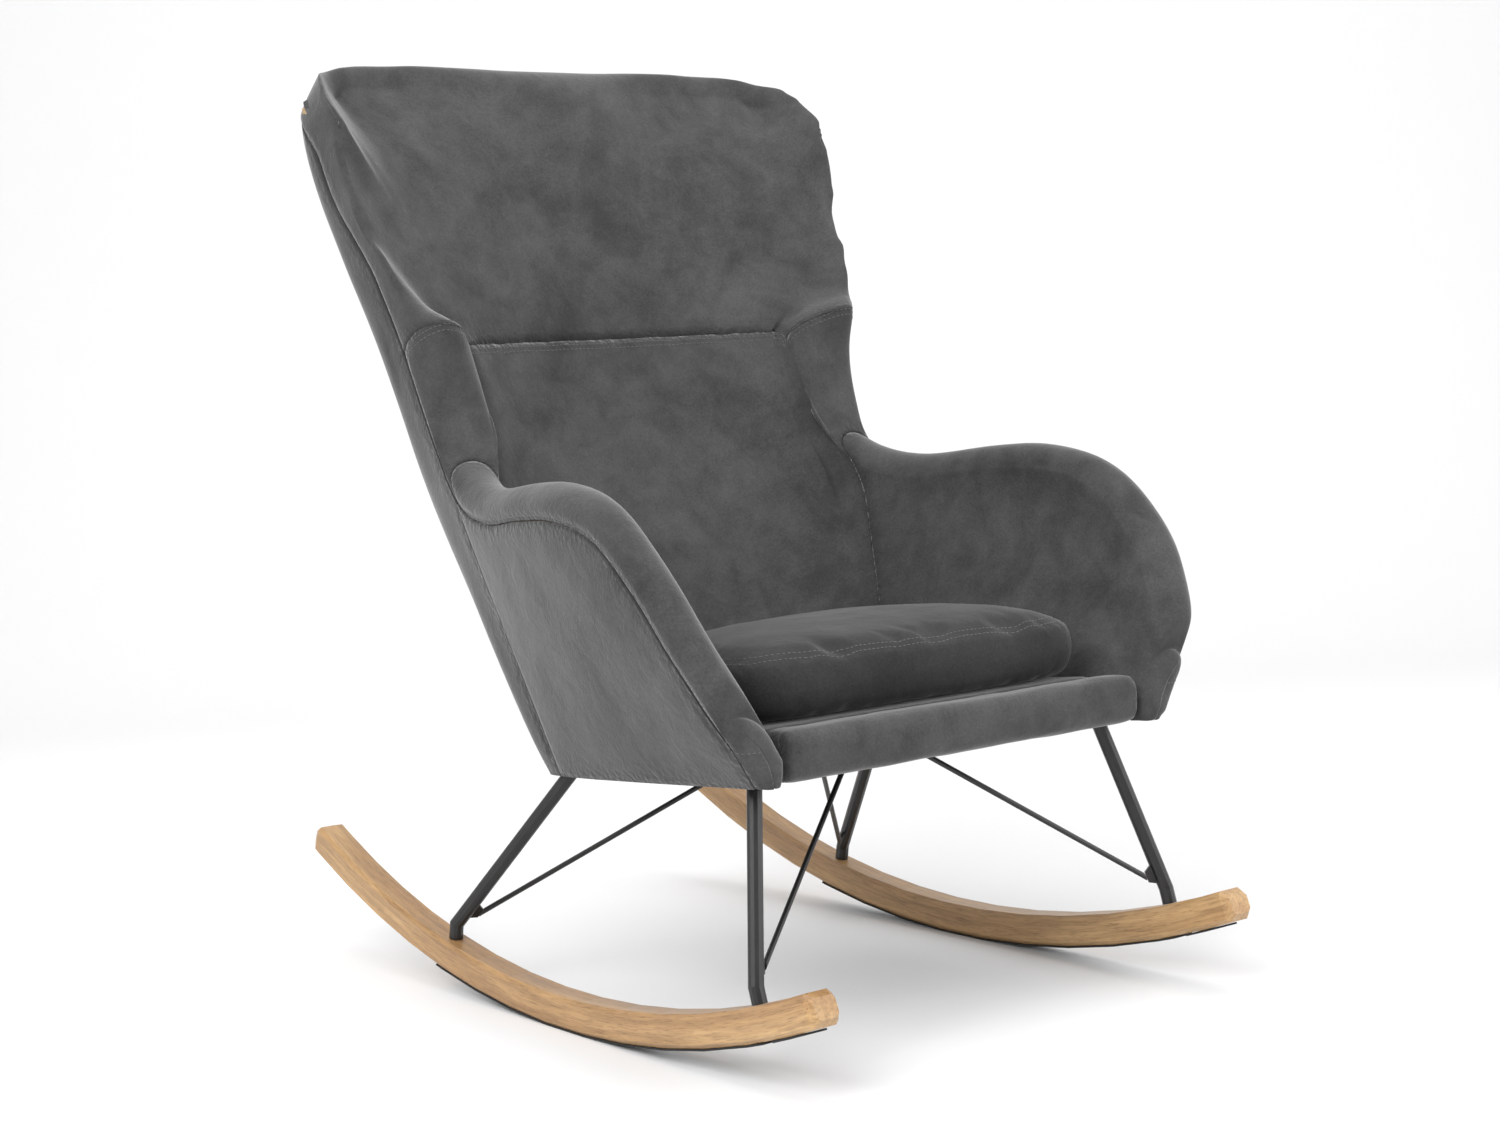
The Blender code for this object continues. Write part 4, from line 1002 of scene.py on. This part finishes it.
def make_deck():
    """The seat deck under the cushion: a flat foam pad sewn inside the walls."""
    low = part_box("deck_cover")[0]
    foot = [GRID[j, FOOT_ROW] for j in range(COLUMNS)]
    inside = [point for point in foot if point[1] > low.y + 0.004]
    rear = low.y + 0.0005
    widths = sorted((point[1], abs(point[0])) for point in inside)
    ys = np.array([y for y, _ in widths])
    xs = np.array([x for _, x in widths])
    grid, values = [], []
    for step in range(30):
        y = rear + (ys.max() - 0.006 - rear) * step / 29
        half = max(float(np.interp(y, ys, xs)) - 0.004, 0.02)
        row = []
        for k in range(31):
            x = half * (-1 + 2 * k / 30)
            edge = min(half - abs(x), ys.max() - y, y - rear + 0.004)
            row.append((x, y, seat_floor(y) - 0.004 * math.exp(-((edge / 0.008) ** 2))))
            # This mask grows at the deck's edges, and through the velvet it paints shade where the deck meets
            # the walls.
            values.append(math.exp(-edge / 0.010))
        grid.append(row)
    made = grid_mesh("seat_deck", grid, SHELL_VELVET)
    if made.data.polygons[10].normal.z < 0:
        made.data.flip_normals()
    seam_attribute(made, values)
    solid = made.modifiers.new("pad", "SOLIDIFY")
    solid.thickness = DECK_THICK
    solid.offset = -1
    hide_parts("deck_cover", "deck_foam")
    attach(made, "chair")


DECK_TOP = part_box("deck_cover")[1].z - underside(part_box("deck_cover")[0].y - ROW_Y)
make_roll()
make_deck()


# Loose cushion -------------------------------------------------------------------------------
CUSHION_LOW, CUSHION_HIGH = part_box("cushion_cover")
CUSHION_BASE = CUSHION_LOW.z - underside(CUSHION_HIGH.y - ROW_Y) + 0.001
EDGE_TALL = 0.052  # the front face, from the base to the seam on the top edge
CROWN = 0.028  # how far the top rises above that seam
HALF_WIDTH = 0.2465  # at the front; the sides draw in by TAPER towards the back
TAPER = 0.09
SMALLER = 0.0055  # the cushion starts this much inside its size, then swells
VOXEL = 0.0058
PRESSURE = 4.0
FRAMES = 18
MOST_SWELL = 0.010
TOP_SEAM_WIDTH = 0.0042
TOP_SEAM_DEEP = 0.0030
WRINKLE_DEEP = 0.0022
STITCH_INSETS = (0.016, 0.026)


def cushion_edge(angle, inset=0.0):
    """Plan of the cushion: square across the front, round at the back."""
    half_depth = (CUSHION_HIGH.y - CUSHION_LOW.y) / 2 - inset
    middle = (CUSHION_HIGH.y + CUSHION_LOW.y) / 2
    exponent = 5.2 if math.cos(angle) < 0 else 2.4
    dx = math.copysign(abs(math.sin(angle)) ** (2 / exponent), math.sin(angle))
    dy = math.copysign(abs(math.cos(angle)) ** (2 / exponent), math.cos(angle))
    return dx * (HALF_WIDTH * (1 - TAPER * (dy + 1)) - inset), middle + dy * half_depth


def cushion_body(name, inset):
    """Closed cushion mesh in rings; its flat underside follows the seat's slope."""
    count = 96
    middle = (CUSHION_HIGH.y + CUSHION_LOW.y) / 2
    profile = [(0.35, 0.0), (0.65, 0.0), (0.86, 0.0), (0.955, 0.001), (0.985, 0.010)]
    profile += [(1.0, 0.026), (0.995, 0.040), (0.975, EDGE_TALL)]
    profile += [(scale, EDGE_TALL + CROWN * (1 - scale**2.2)) for scale in (0.93, 0.84, 0.68, 0.48, 0.26)]
    rows = []
    for scale, rise in profile:
        row = []
        for k in range(count):
            x, y = cushion_edge(2 * math.pi * k / count, inset)
            x, y = x * scale, middle + (y - middle) * scale
            row.append((x, y, underside(y - ROW_Y) + CUSHION_BASE + rise))
        rows.append(row)
    return grid_mesh(name, rows, SHADED_CUSHION_VELVET, wrap=True)


def inflate(made, frames, pressure):
    """Blows the cushion up as cloth, pinned nowhere, and leaves only the settled mesh."""
    remesh = made.modifiers.new("even", "REMESH")
    remesh.mode = "VOXEL"
    remesh.voxel_size = VOXEL
    bpy.context.view_layer.objects.active = made
    bpy.context.view_layer.update()
    graph = bpy.context.evaluated_depsgraph_get()
    even = bpy.data.meshes.new_from_object(made.evaluated_get(graph))
    made.modifiers.clear()
    made.data = even
    before = np.array([v.co[:] for v in made.data.vertices])
    cloth = made.modifiers.new("stuffing", "CLOTH")
    settings = cloth.settings
    settings.use_pressure = True
    settings.uniform_pressure_force = pressure
    settings.quality = 6
    settings.mass = 0.25
    settings.tension_stiffness = 18
    settings.compression_stiffness = 18
    settings.shear_stiffness = 8
    settings.bending_stiffness = 0.6
    settings.air_damping = 2
    settings.effector_weights.gravity = 0
    cloth.point_cache.frame_start = 1
    cloth.point_cache.frame_end = frames
    for frame_number in range(1, frames + 1):
        bpy.context.scene.frame_set(frame_number)
    graph = bpy.context.evaluated_depsgraph_get()
    after = np.array([v.co[:] for v in made.evaluated_get(graph).data.vertices])
    made.modifiers.clear()
    bpy.context.scene.frame_set(1)
    shift = after - before
    size = np.linalg.norm(shift, axis=1)
    shift *= np.minimum(1, MOST_SWELL / np.maximum(size, 1e-9))[:, None]
    return before + shift


def make_cushion():
    made = cushion_body("seat_cushion", SMALLER)
    points = inflate(made, FRAMES, PRESSURE)
    # The underside stays on the deck, and the rest stays inside the cushion's box.
    base = np.array([underside(y - ROW_Y) + CUSHION_BASE for y in points[:, 1]])
    points[:, 2] = np.maximum(points[:, 2], base)
    points[:, 0] = np.clip(points[:, 0], CUSHION_LOW.x - 0.002, CUSHION_HIGH.x + 0.002)
    points[:, 1] = np.clip(points[:, 1], CUSHION_LOW.y - 0.003, CUSHION_HIGH.y + 0.002)
    made.data.vertices.foreach_set("co", points.ravel())
    made.data.update()
    # A seam runs round the top edge.
    normals = np.array([v.normal[:] for v in made.data.vertices])
    edge = [cushion_edge(2 * math.pi * k / 720, 0.002) for k in range(720)]
    tree = KDTree(len(edge))
    for k, (x, y) in enumerate(edge):
        tree.insert((x, y, 0), k)
    tree.balance()
    rise = points[:, 2] - base
    flat = np.array([tree.find((x, y, 0))[2] for x, y, _ in points])
    far = np.hypot(np.maximum(flat - 0.006, 0), rise - EDGE_TALL)
    dip = np.exp(-((far / TOP_SEAM_WIDTH) ** 2))
    wave = np.array([noise.noise(Vector(p) * 7.0) + 0.4 * noise.noise(Vector(p) * 22.0) for p in points])
    top = np.clip((rise - 0.02) / 0.03, 0, 1)
    wrinkle = WRINKLE_DEEP * wave * top * (1 - dip)
    points = points - normals * (TOP_SEAM_DEEP * dip)[:, None] + normals * wrinkle[:, None]
    points[:, 2] = np.maximum(points[:, 2], base)
    made.data.vertices.foreach_set("co", points.ravel())
    made.data.shade_smooth()
    seam_attribute(made, np.exp(-far / 0.006))
    made.data.materials.clear()
    made.data.materials.append(SHADED_CUSHION_VELVET)
    smooth = made.modifiers.new("smooth", "SUBSURF")
    smooth.levels = smooth.render_levels = 1
    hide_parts("cushion_cover", "cushion_foam", "cushion_bottom")
    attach(made, "cushion")
    return made


CUSHION = make_cushion()


def stitch_cushion():
    surface = surface_of([CUSHION])
    for k, inset in enumerate(STITCH_INSETS):
        path = []
        for step in range(241):
            angle = 0.5 * math.pi + math.pi * step / 240
            x, y = cushion_edge(angle, inset)
            path.append((x, y, underside(y - ROW_Y) + CUSHION_BASE + EDGE_TALL + 0.012))
        stitches(f"cushion_stitches_{k + 1}", path, surface, DARK_THREAD, "cushion")


stitch_cushion()


# Setting -------------------------------------------------------------------------------------
def shade(name, level, rough):
    s = Shader(name)
    s.set("Base Color", grey(level))
    s.set("Roughness", rough)
    return s.material


def make_setting():
    mesh = bpy.data.meshes.new("studio_floor")
    points, faces = [], []
    bend = [(-3.2, 0.0), (2.2, 0.0)]
    bend += [(2.2 + 1.2 * math.sin(a), 1.2 - 1.2 * math.cos(a)) for a in np.linspace(0.1, math.pi / 2, 16)]
    bend += [(3.4, 4.5)]
    turn = Matrix.Rotation(math.radians(-37.0), 3, "Z")
    for y, z in bend:
        for x in (-6, 6):
            points.append(turn @ Vector((x, y, z)))
    for k in range(len(bend) - 1):
        faces.append((2 * k, 2 * k + 1, 2 * k + 3, 2 * k + 2))
    mesh.from_pydata([tuple(p) for p in points], [], faces)
    mesh.shade_smooth()
    mesh.materials.append(shade("studio_paper", 0.80, 0.8))
    floor = bpy.data.objects.new("studio_floor", mesh)
    bpy.context.scene.collection.objects.link(floor)


def add_light(name, place, size, power, towards=(0, 0, 0.5)):
    lamp = bpy.data.lights.new(name, "AREA")
    lamp.shape = "RECTANGLE"
    lamp.size, lamp.size_y = size
    lamp.energy = power
    made = bpy.data.objects.new(name, lamp)
    made.location = place
    made.rotation_euler = (Vector(towards) - Vector(place)).to_track_quat("-Z", "Y").to_euler()
    bpy.context.scene.collection.objects.link(made)


CAMERA_TURN = (-37.41, 4.70, -2.83)  # yaw, pitch and roll, in degrees
CAMERA_PLACE = (-1.6551, -2.1898, 0.6744)
CAMERA_LENS = 61.05
LIGHTS = (  # name, place, size in metres and power in watts
    ("window", (-2.6, -1.2, 2.4), (2.2, 2.0), 90),
    ("fill", (1.8, -2.8, 1.6), (2.5, 2.0), 45),
    ("top", (0.0, 0.2, 3.2), (3.0, 3.0), 55),
)


def make_camera():
    yaw, pitch, roll = (math.radians(angle) for angle in CAMERA_TURN)
    back = Vector((math.sin(yaw) * math.cos(pitch), -math.cos(yaw) * math.cos(pitch), math.sin(pitch)))
    right = Vector((math.cos(yaw), math.sin(yaw), 0))
    up = back.cross(right)
    side = math.cos(roll) * right + math.sin(roll) * up
    top = -math.sin(roll) * right + math.cos(roll) * up
    lens = bpy.data.cameras.new("camera")
    lens.lens, lens.sensor_width = CAMERA_LENS, 36
    lens.clip_start = 0.05
    made = bpy.data.objects.new("camera", lens)
    matrix = Matrix((side, top, back)).transposed().to_4x4()
    matrix.translation = Vector(CAMERA_PLACE)
    made.matrix_world = matrix
    bpy.context.scene.collection.objects.link(made)
    bpy.context.scene.camera = made


make_setting()
make_camera()
for light in LIGHTS:
    add_light(*light)
world = bpy.data.worlds.new("studio")
world.use_nodes = True
world.node_tree.nodes["Background"].inputs["Color"].default_value = (1.0, 1.0, 1.0, 1)
world.node_tree.nodes["Background"].inputs["Strength"].default_value = 0.75
bpy.context.scene.world = world
bpy.context.scene.view_settings.view_transform = "Standard"

for part in frame["record"]["subparts"]:
    node = frame["nodes"][part["node"]]
    if not node.hide_render and part["material_slot"] in ("black_metal", "zinc"):
        node.data.shade_smooth()
